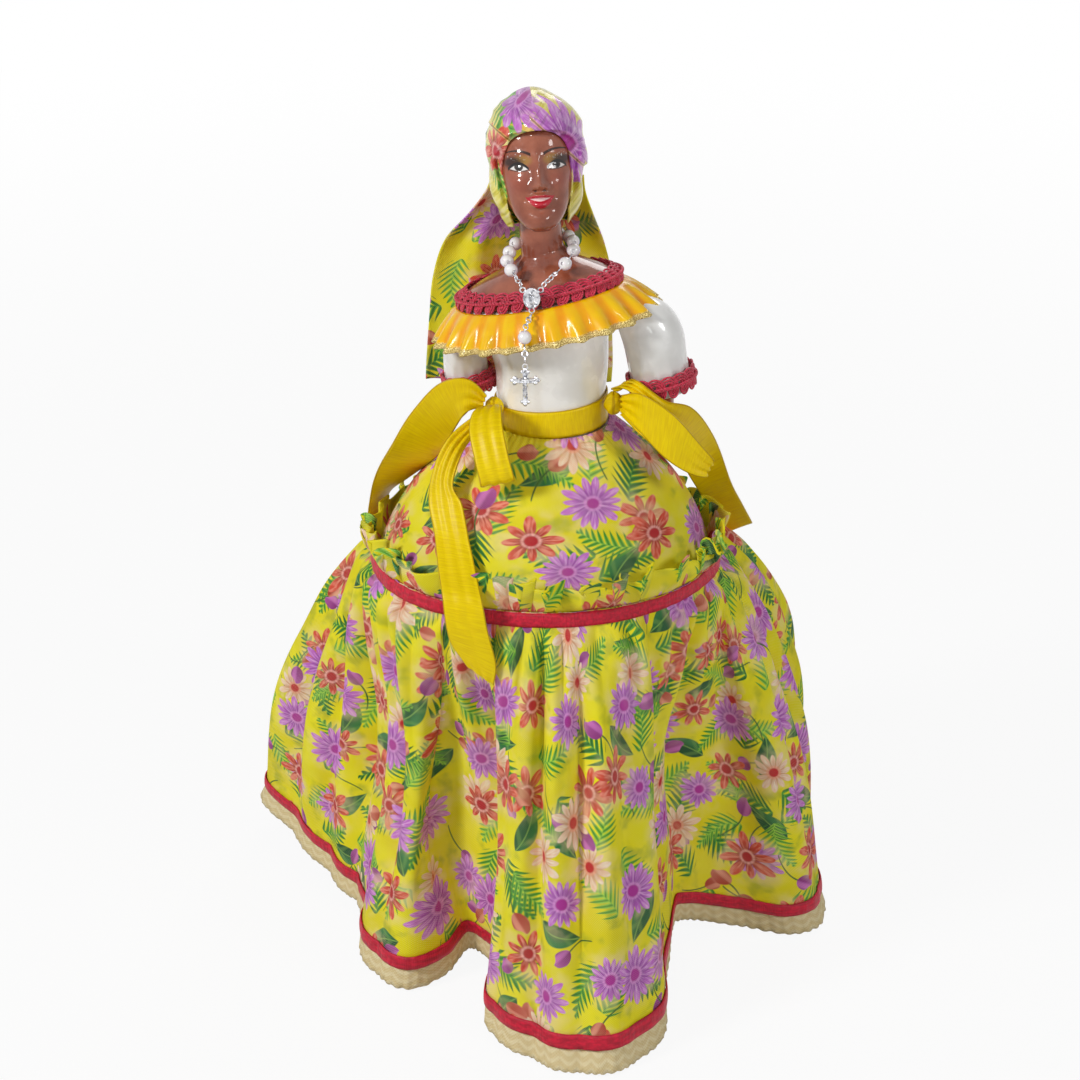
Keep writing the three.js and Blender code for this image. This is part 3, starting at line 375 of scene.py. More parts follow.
def dress(piece, paint, nodes, body="root"):
    piece.data.materials.clear()
    piece.data.materials.append(paint.material)
    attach(piece, body)
    if nodes:
        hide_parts(*([nodes] if isinstance(nodes, str) else nodes))
    return piece


# A round tube along points in millimetres, for wires, links and braid cords
def tubeMesh(points, radius, sides, closed=True):
    points = np.array(points, float)
    count = len(points)
    ahead = np.roll(points, -1, 0) if closed else np.vstack([points[1:], 2 * points[-1] - points[-2]])
    behind = np.roll(points, 1, 0) if closed else np.vstack([2 * points[0] - points[1], points[:-1]])
    way = unit(ahead - behind)
    side = np.zeros_like(points)
    start = np.cross(way[0], (0.13, 0.27, 0.95))
    for i in range(count):
        start = start - way[i] * start.dot(way[i])
        start = start / max(np.linalg.norm(start), 1e-9)
        side[i] = start
    other = np.cross(way, side)
    turn = np.arange(sides) / sides * fullTurn
    radius = np.broadcast_to(radius, count)[:, None, None]
    spokes = side[:, None] * np.cos(turn)[:, None] + other[:, None] * np.sin(turn)[:, None]
    ring = points[:, None] + radius * spokes
    faces = []
    for i in range(count if closed else count - 1):
        n = (i + 1) % count
        faces += [(i * sides + j, i * sides + (j + 1) % sides, n * sides + (j + 1) % sides, n * sides + j)
                  for j in range(sides)]
    if not closed:
        faces += [tuple(range(sides))[::-1], tuple((count - 1) * sides + j for j in range(sides))]
    return ring.reshape(-1, 3), faces


def meshPiece(name, parts):
    places, faces, base = [], [], 0
    for points, squares in parts:
        places.append(points)
        faces += [tuple(base + k for k in square) for square in squares]
        base += len(points)
    mesh = bpy.data.meshes.new(name)
    mesh.from_pydata((np.vstack(places) * mm).tolist(), [], faces)
    piece = added(name, mesh)
    only(piece)
    bpy.ops.object.mode_set(mode="EDIT")
    bpy.ops.mesh.select_all(action="SELECT")
    bpy.ops.mesh.normals_make_consistent(inside=False)
    bpy.ops.object.mode_set(mode="OBJECT")
    bpy.ops.object.shade_smooth()
    return piece


# The skirt's print, by the spacing of each motif in millimetres
printLook = {
    "ground": "#F0E512", "groundDeep": "#D9C60A", "halo": "#F6DFA8", "shadow": "#8C9C2A", "thread": 1.0,
    "flower": 36, "fern": 35, "leaf": 39, "bud": 35,
}


# Place in a scattered cell, along and across its turned motif, with two of the cell's random numbers
def scattered(paint, place, cell, jitter, shift):
    at = paint.vector("ADD", place, (shift[0], shift[1], 0))
    cells = paint.add("TexVoronoi", {"voronoi_dimensions": "2D"},
                      {"Vector": at, "Scale": 1 / cell, "Randomness": jitter}, "Color")
    x, y, _ = paint.sides(paint.vector("SUBTRACT", at, cells.out("Position")))
    luck, chance, third = paint.sides(cells)
    turn = luck * fullTurn
    along = x * turn.cos() + y * turn.sin()
    across = y * turn.cos() - x * turn.sin()
    return along, across, chance, third


def flowers(paint, ground, place, cell, shift, size, kinds, jitter=0.5):
    along, across, chance, third = scattered(paint, place, cell, jitter, shift)
    far = (along * along + across * across).root()
    petals, slim = kinds[0]["petals"], kinds[0]["slim"]
    for before, kind in zip(kinds, kinds[1:]):
        chosen = chance > kind["from"]
        petals = chosen * (kind["petals"] - before["petals"]) + petals
        slim = chosen * (kind["slim"] - before["slim"]) + slim
    turn = across.maths("ARCTAN2", across, along) * petals * (1 / fullTurn) + petals
    petal = (turn.fraction() - 0.5).abs() * 2
    wild = (turn.floor() * 2.399 + third * 9).sin()
    reach = size * (0.84 + third * 0.22) * (1 - slim * petal ** 1.7 + wild * 0.09)
    mask = (reach - far).between(0, 0.7)
    streak = paint.noise(paint.point(turn * 5.5, far * 0.22, third * 20), 1, 2).between(0.35, 0.7)
    middle = size * 0.25
    tints = None
    for kind in kinds:
        tone = paint.blend(kind["dark"], kind["light"], (far / size).between(0.1, 0.8))
        tone = paint.blend(tone, kind["pale"], streak * (0.85 - 0.6 * petal))
        tone = paint.blend(tone, kind["dark"], petal.between(0.66, 1) * 0.7)
        ringed = (1 - (far - middle).abs().between(0, 1.2)) * 0.9
        tone = paint.blend(tone, kind["heart"], 1 - far.between(middle * 0.7, middle * 0.95))
        tone = paint.blend(tone, kind["ring"], ringed * (0.6 + 0.4 * streak))
        tints = tone if tints is None else paint.blend(tints, tone, chance > kind["from"])
    glow = (1 - far.between(size * 0.7, size * 1.45)) * paint.noise(place, 0.09, 2).between(0.4, 0.62)
    return paint.blend(paint.blend(ground, printLook["halo"], glow * 0.5), tints, mask)


def ferns(paint, ground, place, cell, shift, size, dark, light, jitter=0.6):
    along, across, chance, third = scattered(paint, place, cell, jitter, shift)
    across = across + along * along * (0.25 / size) - 0.06 * size
    share = along / size
    body = (1 - share * share).atLeast(0).root()
    width = size * 0.5 * body * (1.1 - 0.4 * share)
    slant = (along - across.abs() * 0.8) * (1 / (size * 0.23)) + (across > 0) * 0.5
    blade = (slant.fraction() - 0.5).abs() * 2
    slim = 0.95 - 0.8 * (across.abs() / width.atLeast(0.01)) ** 1.5
    leaf = (slim - blade).between(0, 0.16) * (body > 0.05) * (chance > 0.12)
    stem = (1 - across.abs().between(0.25, 0.6)) * (share.abs() < 1)
    tone = paint.blend(dark, light, (blade * 0.9 + third * 0.3).between(0.1, 0.9))
    return paint.blend(ground, tone, leaf.atLeast(stem * (chance > 0.12)))


def leaves(paint, ground, place, cell, shift, size, dark, light):
    along, across, chance, third = scattered(paint, place, cell, 0.6, shift)
    across = across + along * along * (0.16 / size)
    share = along / size
    edge = size * 0.36 * (1 - share * share).atLeast(0) * (1.15 - 0.5 * share)
    mask = (edge - across.abs()).between(0, 0.5) * (chance > 0.2)
    vein = 1 - across.abs().between(0.12, 0.5)
    ribs = ((along - across.abs() * 1.2) * (7 / size)).sin().between(0.3, 1)
    lit = paint.blend(dark, light, (across / size).between(-0.1, 0.25) * 0.7 + third * 0.15)
    tone = paint.blend(lit, "#9CCB5E", (vein * 0.8).atLeast(ribs * 0.3) * 0.7)
    return paint.blend(ground, tone, mask)


def buds(paint, ground, place, cell, shift, size):
    along, across, chance, third = scattered(paint, place, cell, 0.7, shift)
    bent = across + along * along * 0.03
    stem = (1 - bent.abs().between(0.2, 0.55)) * (along > -1.6 * size) * (along < 0)
    edge = size * 0.42 * (1 - (along / size - 0.5) ** 2 * 3.4).atLeast(0).root()
    edge = edge * (1 - (along / size).between(0.55, 1.1) * ((across * (8 / size)).sin() * 0.5 + 0.5))
    cup = (edge - across.abs()).between(0, 0.4)
    stripes = (across * (9 / size)).sin().between(-0.4, 1) * 0.6 + (along / size).between(0, 1.1) * 0.4
    tone = paint.blend("#8E2C7E", "#D77AC9", stripes)
    warm = paint.blend("#B4362A", "#F0A48A", stripes)
    tone = paint.blend(tone, warm, third > 0.6)
    body = paint.blend(ground, "#3C6A2C", stem * (chance > 0.15))
    return paint.blend(body, tone, cup * (chance > 0.15))


rose = {"petals": 8, "slim": 0.62, "dark": "#981A1E", "light": "#DC4634", "pale": "#F6A890",
        "heart": "#B81A2C", "ring": "#F8BCB2"}
orchid = {"petals": 15, "slim": 0.36, "dark": "#93389E", "light": "#CB6ED0", "pale": "#F1C2EC",
          "heart": "#B4309A", "ring": "#E9A0E0"}
cream = {"petals": 12, "slim": 0.42, "dark": "#CC8A62", "light": "#F6CFAC", "pale": "#FDF0DC",
         "heart": "#C2202C", "ring": "#F2A184"}


def printedGround(paint, place):
    look = printLook
    deep = paint.noise(place, 0.03, 2).between(0.4, 0.7) * 0.5
    shadow = paint.noise(place, 0.075, 4).between(0.52, 0.7) * 0.5
    tone = paint.blend(paint.blend(look["ground"], look["groundDeep"], deep), look["shadow"], shadow)
    tone = ferns(paint, tone, place, look["fern"] * 1.12, (7, 3), 15, "#1F6A2A", "#5FAE3E")
    tone = leaves(paint, tone, place, look["leaf"] * 1.1, (19, 44), 12.5, "#16502F", "#2F8246")
    tone = ferns(paint, tone, place, look["fern"], (52, 27), 13.5, "#37902A", "#A5D84C")
    tone = buds(paint, tone, place, look["bud"], (33, 71), 9)
    tone = flowers(paint, tone, place, look["flower"] * 1.1, (3, 90), 12.2,
                   [{"from": 0, **cream}, {"from": 0.36, **rose}, {"from": 0.68, **orchid}])
    tone = buds(paint, tone, place, look["bud"] * 1.3, (83, 17), 10)
    return flowers(paint, tone, place, look["flower"] * 1.16, (140, 11), 13.4,
                   [{"from": 0, **rose}, {"from": 0.44, **orchid}, {"from": 0.9, **cream}])


def cottonPaint():
    paint = Paint("print_cotton", Roughness=0.82, Specular_IOR_Level=0.25)
    place = paint.cutPlace()
    x, y, _ = paint.sides(place)
    tone = printedGround(paint, place)
    warp = (x * (fullTurn / printLook["thread"])).sin()
    weft = (y * (fullTurn / printLook["thread"])).sin()
    weave = warp * weft
    blotches = paint.noise(place, 0.05, 2).between(0.35, 0.65)
    # Painted highlight on the raised thread crossings, stronger in blotches, and painted shade in the hollows
    # between them
    tone = paint.blend(tone, "#FBF6C8", weave.between(0.1, 1) * (0.08 + blotches * 0.3))
    tone = paint.blend(tone, paint.blend(tone, "#6E6400", 0.5), (-weave).between(0.2, 1) * 0.2)
    paint.set("Base Color", tone)
    paint.set("Roughness", 0.78 + weave * 0.06)
    creases = paint.noise(place, 0.16, 3)
    paint.set("Normal", paint.bump(creases, 0.25, 0.0012, paint.bump(weave, 0.35, 0.00016)))
    return paint


cotton = cottonPaint()
print("print painted")


# The figure's frames, as the CAD has them
def turned(place, tilt):
    return Matrix.Translation(place) @ Euler([math.radians(a) for a in tilt], "XYZ").to_matrix().to_4x4()


figureFrame = turned((5, 0, 266), (0, -4, -14))
chestFrame = figureFrame @ turned((0, 0, 46), (0, -9, 0))
headTilt = {"place": (-2, 1, 380), "turn": (-12, -3.5, 4)}
headFrame = turned(headTilt["place"], headTilt["turn"])

# Skirt: a dome over the pad, a gathered tier below, a frill, ribbons and lace
# Waist and seam are each a middle and a radius, the bulge a radius and a height
dome = {"waist": (5, 0, 261, 26), "seam": (2, -4, 198, 75.2), "rise": 5, "tuck": 2.5, "bulge": (69, 229)}


def seamPlace(angle, radius, lift):
    return stack(dome["seam"][0] + radius * np.sin(angle), dome["seam"][1] - radius * np.cos(angle),
                 dome["seam"][2] + dome["rise"] * np.cos(angle) + lift)


def tierPoint(angle, fall, offset):
    t = np.minimum(fall, 1)
    waist, seam, bulge = dome["waist"], dome["seam"], dome["bulge"]
    level = seam[2] + dome["rise"] * np.cos(angle)

    def bend(a, b, c):
        return (1 - t) ** 2 * a + 2 * t * (1 - t) * b + t * t * c

    def slope(a, b, c):
        return (1 - t) * (b - a) + t * (c - b)

    out, up = -slope(waist[2], bulge[1], level), slope(waist[3], bulge[0], seam[3])
    reach = offset / np.hypot(out, up)
    radius = bend(waist[3], bulge[0], seam[3]) + reach * out
    height = bend(waist[2], bulge[1], level) + reach * up - np.maximum(fall - 1, 0) * dome["tuck"]
    return stack(mix(waist[0], seam[0], t) + radius * np.sin(angle),
                 mix(waist[1], seam[1], t) - radius * np.cos(angle), height)


upperTier = {"columns": 240, "rows": 44, "pucker": 0.55, "puckers": 64, "thickness": 0.8, "flare": 0.56,
             "fall": 99, "cutAt": 40}


def upperTierPlace(u, v):
    angle = (u - 0.5) * fullTurn
    fall = np.minimum(v * 1.12, 1) + np.maximum(v * 1.12 - 1, 0) * 8  # the last rows run on below the seam
    wild = upperTier["puckers"] * angle + 1.3 * np.sin(5 * angle) + 0.7 * np.sin(11 * angle + 1)
    atSeam = 0.9 * smooth((fall - 0.8) / 0.2) * (fall < 1.01)
    depth = upperTier["pucker"] * (smooth((0.16 - fall) / 0.16) + atSeam)
    slack = 0.25 * np.sin(7 * angle + 4 * fall) * np.sin(math.pi * np.minimum(fall, 1))
    sewn = 1.1 * smooth((fall - 0.97) / 0.5)  # the edge is sewn against the lower tier
    return tierPoint(angle, fall, 0.1 + depth * np.sin(wild) * 0.5 + slack + sewn)


# The dome's cut is a ring sector, so the print keeps its size from the waist to the seam
def upperTierCut(u, v):
    flare = upperTier["flare"]
    far = dome["waist"][3] / flare + v * upperTier["fall"]
    angle = (u - 0.5) * fullTurn * flare
    return far * np.sin(angle) + upperTier["cutAt"], -far * np.cos(angle)


upper = clothPiece("upper_skirt_cloth", upperTier, upperTierPlace, upperTierCut)
dress(upper, cotton, "upper_skirt")

# Round the hem: angle in degrees, radius, height, how far the cloth bellies out above it
hemStations = [
    (4, 134, 0.6, 0), (15, 138, 0.6, 0), (26, 124, 1, 0), (35, 102, 3, 0), (44, 86, 8, 3), (58, 73, 12, 6),
    (72, 76, 10, 9), (77, 98, 5, 8), (78, 122, 2, 6), (85, 138, 1.5, 6), (96, 138, 6, 10), (107, 135, 42, 16),
    (118, 145, 92, 16), (128, 150, 52, 16), (138, 146, 5, 10), (151, 120, 3, 6), (164, 137, 1, 6),
    (177, 146, 1, 6), (190, 124, 4, 6), (202, 116, 6, 8), (214, 140, 3, 10), (226, 160, 8, 12),
    (241, 162, 20, 16), (250, 130, 14, 14), (262, 102, 8, 10), (278, 86, 4, 6), (291, 92, 1.5, 4),
    (306, 97, 0.8, 2), (318, 92, 0.6, 3), (324, 74, 3, 6), (325, 58, 8, 8), (338, 60, 7, 8),
    (344, 80, 3, 6), (348, 108, 0.8, 2),
]
# clothEnd to laceSeat and gatherReach are shares of the fall from seam to hem, lengths are millimetres
lowerTier = {
    "radius": 76.5, "clothEnd": 0.945, "ribbonWidth": 0.033, "tierRibbon": 0.032, "laceSeat": 0.02,
    "columns": 620, "rows": 60, "thickness": 0.8, "fall": 205, "seat": 0, "draped": 1,
    "gathers": 42, "gatherDepth": 5.8, "gatherReach": 0.6, "folds": 27, "foldDepth": 9,
    "hollow": 14, "swell": 2, "plainReach": 112,
}
hemPlaces = [(r * math.sin(math.radians(a)), -r * math.cos(math.radians(a)), h) for a, r, h, _ in hemStations]
hemCurve = curveThrough(hemPlaces, True)
bellyAt = curveThrough([station[3] for station in hemStations], True)


# Where each hem station hangs from on the seam
def seamAngles():
    count = len(hemPlaces)
    lengths = [math.dist(hemPlaces[i], hemPlaces[(i + 1) % count]) for i in range(count)]
    ahead = [hemStations[(i + 1) % count][0] + (360 if i == count - 1 else 0) for i in range(count)]
    turns = [max(ahead[i] - hemStations[i][0], 0) for i in range(count)]
    angles = [math.radians(hemStations[0][0])]
    for i in range(count - 1):
        step = 0.65 * turns[i] / sum(turns) + 0.35 * lengths[i] / sum(lengths)
        angles.append(angles[-1] + step * fullTurn)
    return angles


seamCurve = curveThrough([(math.sin(a), -math.cos(a), 0) for a in seamAngles()], True)


def seamAngle(u):
    way = seamCurve(u)
    return np.arctan2(way[..., 0], -way[..., 1])


def skirtMiddle(u, v):
    angle = seamAngle(u)
    point = seamPlace(angle, lowerTier["radius"], 0)
    point = point + (hemCurve(u) - point) * np.asarray(v)[..., None]
    belly = bellyAt(u)[..., 0] * np.sin(math.pi * np.minimum(v / lowerTier["clothEnd"], 1))
    return point + stack(belly * np.sin(angle), -belly * np.cos(angle), 0)


# Fine gathers below the seam that run out into soft folds further down
def skirtDrape(u, v):
    angle = seamAngle(u)
    wild = lowerTier["gathers"] * angle + 1.6 * np.sin(6 * angle + 0.4) + 1.1 * np.sin(13 * angle)
    ends = lowerTier["gatherReach"] * (0.75 + 0.25 * np.sin(9 * angle + 2) + 0.2 * np.sin(23 * angle))
    deep = 0.14 + 0.86 * smooth((v - lowerTier["tierRibbon"]) / 0.04)
    pleat = np.sqrt(np.sin(wild / 2) ** 2 + 0.02)  # round ridges with narrow hollows between
    near = lowerTier["gatherDepth"] * deep * (1 - smooth((v - 0.06) / ends)) * pleat
    far = smooth((v - 0.02) / 0.24) * (1 - 0.7 * smooth((v - 0.55) / 0.42))
    folds = lowerTier["folds"] * angle + 2.4 * np.sin(4 * angle) + 1.5 * v * np.sin(3 * angle + 1)
    uneven = 0.95 + 0.25 * np.sin(7 * angle + 1) + 0.15 * np.sin(12 * angle)
    soft = lowerTier["foldDepth"] * far * uneven * (np.sqrt(np.sin(folds / 2) ** 2 + 0.015) - 0.6)
    hem = hemCurve(u)
    hemReach = np.hypot(hem[..., 0], hem[..., 1])
    middle = smooth(v / 0.45) * smooth((1 - v) / 0.5)  # hollows and swells reach up from the hem
    swell = lowerTier["swell"] * smooth((hemReach - lowerTier["plainReach"]) / 30)
    hollow = lowerTier["hollow"] * smooth((lowerTier["plainReach"] - hemReach) / 26)
    return near + soft + (swell - hollow) * middle


def skirtPoint(u, v, offset, draped=1):
    step = 0.004
    alongHem = skirtMiddle(u + step, v) - skirtMiddle(u - step, v)
    alongFall = skirtMiddle(u, v + step) - skirtMiddle(u, np.maximum(v - step, 0))
    normal = -unit(np.cross(alongHem, alongFall))
    point = skirtMiddle(u, v)
    level = unit(stack(point[..., 0] - dome["seam"][0], point[..., 1] - dome["seam"][1], 0))
    normal = unit(mix(level, normal, smooth(v / 0.03)[..., None]))
    return point + normal * (offset + draped * skirtDrape(u, v))[..., None]


# Length of cloth round the skirt, so the cut and its print keep their size in every fold
measuredFall = 0.62  # share of the way down at which the cloth is measured
aroundSkirt = np.linspace(0, 1, 2400)
foldLine = skirtPoint(aroundSkirt + 0.5, 0 * aroundSkirt + measuredFall, 0)
clothRun = np.append(0, np.cumsum(np.linalg.norm(np.diff(foldLine, axis=0), axis=1)))


def roundSkirt(u):
    return np.interp(u, aroundSkirt, clothRun)


def skirtBand(name, top, end, look, ripple=None):
    def place(u, v):
        fall = mix(top, end, v)
        lift = look["seat"] + (ripple(u, v) if ripple else 0 * u)
        return skirtPoint(u + 0.5, fall, lift, look["draped"])  # the seam in the print is at the back

    def cut(u, v):
        return roundSkirt(u), mix(top, end, v) * lowerTier["fall"]

    return clothPiece(name, look, place, cut)


ribbonTop = lowerTier["clothEnd"] - lowerTier["ribbonWidth"]
lower = skirtBand("lower_skirt_cloth", 0, lowerTier["clothEnd"], lowerTier)
dress(lower, cotton, "lower_skirt")
print("skirt laid")

# The gathered edge of the lower tier, sewn down by the red ribbon
frillLook = {"height": 14.5, "wave": 5.6, "count": 35, "lean": -4.6, "columns": 840, "rows": 14,
             "thickness": 0.6, "ribbonsAt": (-0.36, -1.97), "run": 900, "cutAt": (31, 60)}


def frillPlace(u, v):
    angle = (u + 0.5) * fullTurn
    wild = frillLook["count"] * angle + 1.7 * np.sin(5 * angle) + 1.2 * np.sin(9 * angle + 2)
    size = frillLook["wave"] * (0.75 + 0.3 * np.sin(11 * angle + 1) + 0.2 * np.sin(17 * angle))
    share = 1 - v
    wave = size * share ** 0.6 * np.sin(wild) * 0.85
    curl = 3 * share * np.sin(2 * wild + 0.5) / lowerTier["radius"]
    crest = 0.1 * np.sin(7 * angle) + 0.13 * np.sin(wild + 1.2) + 0.06 * np.sin(2.3 * wild)
    pressed = sum(np.exp(-(np.sin((angle - at) / 2) / 0.1) ** 2) for at in frillLook["ribbonsAt"])
    out = (wave - frillLook["lean"] * share) * (1 - 0.8 * pressed)  # flat where a ribbon hangs over it
    radius = lowerTier["radius"] + out + 1.2 * np.sin(math.pi * share)
    return seamPlace(angle + curl, radius, 0.3 + frillLook["height"] * share * (0.96 - crest))


def frillCut(u, v):
    along, down = frillLook["cutAt"]
    return u * frillLook["run"] + along, v * frillLook["height"] + down


frill = clothPiece("header_frill_cloth", frillLook, frillPlace, frillCut)
dress(frill, cotton, "header_frill")


# Red ribbon, woven and stitched along both edges
def redRibbonPaint():
    paint = Paint("red_ribbon", Roughness=0.5, Specular_IOR_Level=0.35)
    x, y, _ = paint.sides(paint.cutPlace())
    ribs = (x * (fullTurn / 0.55)).sin()
    patches = paint.noise(paint.point(x * 0.25, y * 0.6), 1, 3)
    tone = paint.blend("#A80B26", "#D81738", patches.between(0.3, 0.7))
    # Pink on the rib crests is a painted highlight
    paint.set("Base Color", paint.blend(tone, "#F0456A", ribs.between(0.2, 1) * 0.18))
    paint.set("Roughness", 0.42 + patches * 0.2)
    puckers = paint.noise(paint.point(x * 0.5, y * 0.12), 1, 2)
    paint.set("Normal", paint.bump(puckers, 0.6, 0.0011, paint.bump(ribs, 0.3, 0.0001)))
    return paint


redRibbon = redRibbonPaint()
# seat is how far a ribbon lies off the cloth's middle, draped how much it follows the cloth's folds
tierTrim = {"seat": 1.1, "draped": 0.35, "columns": 420, "rows": 4, "thickness": 0.5}
hemTrim = {**tierTrim, "draped": 1, "columns": 620}


def tierRipple(u, v):
    return 0.22 * np.sin(math.pi * v) + 0.12 * np.sin(300 * u + 5 * np.sin(40 * u))


def hemRipple(u, v):
    return 0.25 * np.sin(math.pi * v) + 0.1 * np.sin(700 * u + 6 * np.sin(60 * u))


tierRibbon = skirtBand("tier_ribbon_band", 0, lowerTier["tierRibbon"], tierTrim, tierRipple)
dress(tierRibbon, redRibbon, "tier_ribbon")
hemRibbon = skirtBand("hem_ribbon_band", ribbonTop, lowerTier["clothEnd"], hemTrim, hemRipple)
dress(hemRibbon, redRibbon, "hem_ribbon")


# Cotton lace below the hem: close mesh with a scalloped edge
laceLook = {"scallop": 4.2, "width": 11, "columns": 1100, "rows": 6, "thickness": 0.6}


def lacePaint():
    paint = Paint("lace", Roughness=0.9, Specular_IOR_Level=0.2)
    x, y, _ = paint.sides(paint.cutPlace())
    weave = (x * (fullTurn / 1.3)).sin() * (y * (fullTurn / 1.1)).sin()
    scallop = (x * (math.pi / laceLook["scallop"])).sin().abs()
    motif = ((x * (math.pi / laceLook["scallop"])).cos() * 1.6 + y * 1.9).sin()
    tone = paint.blend("#DCC68F", "#F1E4BD", weave.between(-0.6, 0.8) * 0.5 + motif.between(-0.5, 1) * 0.5)
    paint.set("Base Color", paint.blend(tone, "#C9AE74", (1 - scallop.between(0, 0.3)) * 0.2))
    paint.set("Normal", paint.bump(weave * 0.5 + motif * 0.5, 0.3, 0.0003))
    return paint


lace = lacePaint()


def lacePlace(u, v):
    scallop = np.abs(np.sin(math.pi * roundSkirt(u) / laceLook["scallop"]))
    top = lowerTier["clothEnd"] - lowerTier["laceSeat"]
    fall = mix(top, 1 - 0.004 * (1 - scallop), v)
    return skirtPoint(u + 0.5, fall, -0.75 + 0.75 * smooth(v * 2) + 0.25 * np.sin(u * 900) * v, 1)


laceEdge = clothPiece("hem_lace_edge", laceLook, lacePlace,
                      lambda u, v: (roundSkirt(u), v * laceLook["width"]))
dress(laceEdge, lace, "hem_lace")
print("frill, ribbons and lace sewn on")

# Scarf tail. Down its stations: minus the height, middle, place behind, half width
scarfLook = {"top": 372, "end": 262, "looseBy": 40, "columns": 90, "rows": 70, "thickness": 0.7,
             "width": 92, "fall": 112, "cutAt": (12, 55)}
scarfStations = [
    (-372, -1, 17, 20), (-362, -2, 24, 22), (-348, -4, 31, 28), (-332, -7, 38, 36),
    (-312, -8, 43.5, 41), (-292, -9, 44, 42), (-272, -9.5, 43, 43), (-262, -10, 43, 43),
]


def scarfPlace(u, v):
    height = mix(scarfLook["top"], scarfLook["end"], v)
    middle, back, half = alongStations(scarfStations, -height)
    sideways = u * 2 - 1
    down = scarfLook["top"] - height
    loose = smooth(down / scarfLook["looseBy"])
    fold = 2.2 * np.sin(u * 5.5 * math.pi + 0.6) * loose + 0.5 * np.sin(u * 31 + height * 0.05) * loose
    wrapRound = 9 * (1 - smooth(down / 50)) * sideways * sideways
    return stack(middle + half * sideways, back + fold - wrapRound, height)


def scarfCut(u, v):
    across, down = scarfLook["cutAt"]
    return u * scarfLook["width"] + across, v * scarfLook["fall"] + down


scarf = clothPiece("scarf_tail_cloth", scarfLook, scarfPlace, scarfCut, closed=False)
dress(scarf, cotton, "scarf_tail")


# Satin sash
ribbonCut = {"width": 21, "columns": 20, "rows": 110, "thickness": 0.5}


def satinPaint():
    paint = Paint("satin", Roughness=0.38, Specular_IOR_Level=0.2)
    x, y, _ = paint.sides(paint.cutPlace())
    threads = (y * (fullTurn / 0.32)).sin()
    shine = paint.noise(paint.point(x * 0.1, y * 1.6), 1, 3)
    tone = paint.blend("#E8C400", "#F7DA00", shine.between(0.25, 0.75))
    edge = x.maths("PINGPONG", x, ribbonCut["width"] / 2).between(0.3, 0.8)
    paint.set("Base Color", paint.blend("#C9A400", tone, edge))
    paint.set("Roughness", 0.32 + shine * 0.1)
    slubs = paint.noise(paint.point(x * 0.16, y * 0.05), 1, 2)
    paint.set("Normal", paint.bump(slubs, 0.3, 0.0012, paint.bump(threads, 0.12, 0.00005)))
    return paint


satin = satinPaint()
# Each station: place, the way across the ribbon, share of its full width
bowRibbons = {
    "left_bow_side_tail": [
        ((-24.8, -18, 276.2), (0.3, 0, 0.9), 0.3), ((-32, -20.5, 279.8), (0.05, 0, 1), 0.75),
        ((-40, -18, 275.6), (-0.4, -0.1, 0.9), 1), ((-48.5, -12, 262.5), (-0.65, -0.2, 0.75), 1.1),
        ((-56.5, -5, 247), (-0.9, -0.3, 0.35), 1.1), ((-68, 13, 226), (-0.65, -0.7, 0.3), 1.1),
        ((-75, 27, 209), (-0.4, -0.9, 0.1), 1), ((-76.5, 29, 197), (-0.4, -0.9, 0), 1)],
    "left_bow_front_loop": [
        ((-20.4, -18.75, 273.8), (-1, 0, -0.1), 0.3), ((-23, -32, 278), (-1, 0, -0.2), 0.6),
        ((-23.5, -44, 274), (-1, 0, -0.2), 0.7), ((-21, -53, 264), (-1, 0, -0.2), 0.7),
        ((-18.5, -56.5, 255), (-1, 0, -0.2), 0.7), ((-19, -51, 252), (-1, 0, -0.2), 0.7),
        ((-21, -45, 260), (-1, 0, -0.2), 0.65), ((-22.5, -36, 267.5), (-1, 0, -0.2), 0.55),
        ((-20.2, -18.75, 269.6), (-1, 0, -0.1), 0.25)],
    "left_bow_long_tail": [
        ((-24.8, -18.4, 269), (-0.8, 0, 0.6), 0.3), ((-36.5, -30, 261.5), (-0.8, 0.3, 0.6), 0.4),
        ((-42.5, -38, 249), (-0.7, 0.7, 0.3), 0.6), ((-41.5, -46, 239.5), (-0.85, 0.3, 0), 0.75),
        ((-38.5, -58, 228), (-0.9, 0.4, 0), 0.8), ((-36, -72, 219), (-1, 0.2, 0), 0.8),
        ((-33.5, -85, 211.5), (-1, 0.2, 0.1), 0.85), ((-31.5, -88.5, 199), (-1, 0.1, 0.2), 0.9),
        ((-28.5, -88.5, 186), (-0.9, 0.1, 0.4), 1), ((-26, -88, 176), (-0.8, 0.1, 0.6), 0.7)],
    "right_bow_front_loop": [
        ((35.8, -16, 274.5), (0, 0, 1), 0.35), ((44, -32.5, 276.5), (0, 0, 1), 0.85),
        ((56, -39, 268.5), (0.15, 0, 1), 1), ((68, -38, 257), (0.3, 0, 1), 0.7),
        ((75, -35, 251), (0.4, 0, 0.9), 0.4), ((68.5, -33, 254.5), (0.4, 0, 0.9), 0.5),
        ((56, -32, 264), (0.3, 0, 1), 0.65), ((45, -29.4, 269.5), (0.2, 0, 1), 0.45),
        ((36.8, -15.4, 269.8), (0.1, 0, 1), 0.2)],
    "right_bow_back_tail": [
        ((33.8, -12, 279.6), (1, 0, 0.2), 0.2), ((38.5, -19.5, 285), (0.5, 0, 0.8), 0.25),
        ((45, -27.2, 284), (0, 0, 1), 0.35), ((54, -27.6, 274), (0.25, 0, 1), 0.6),
        ((62.5, -21, 266), (0.5, 0, 0.85), 0.9), ((71, -4, 247.5), (0.65, -0.2, 0.75), 1),
        ((81, 21, 218), (0.55, -0.6, 0.55), 1.1), ((88, 38, 198), (0.6, -0.6, 0.55), 1.1),
        ((94, 51, 182), (0.7, -0.5, 0.55), 1)],
}


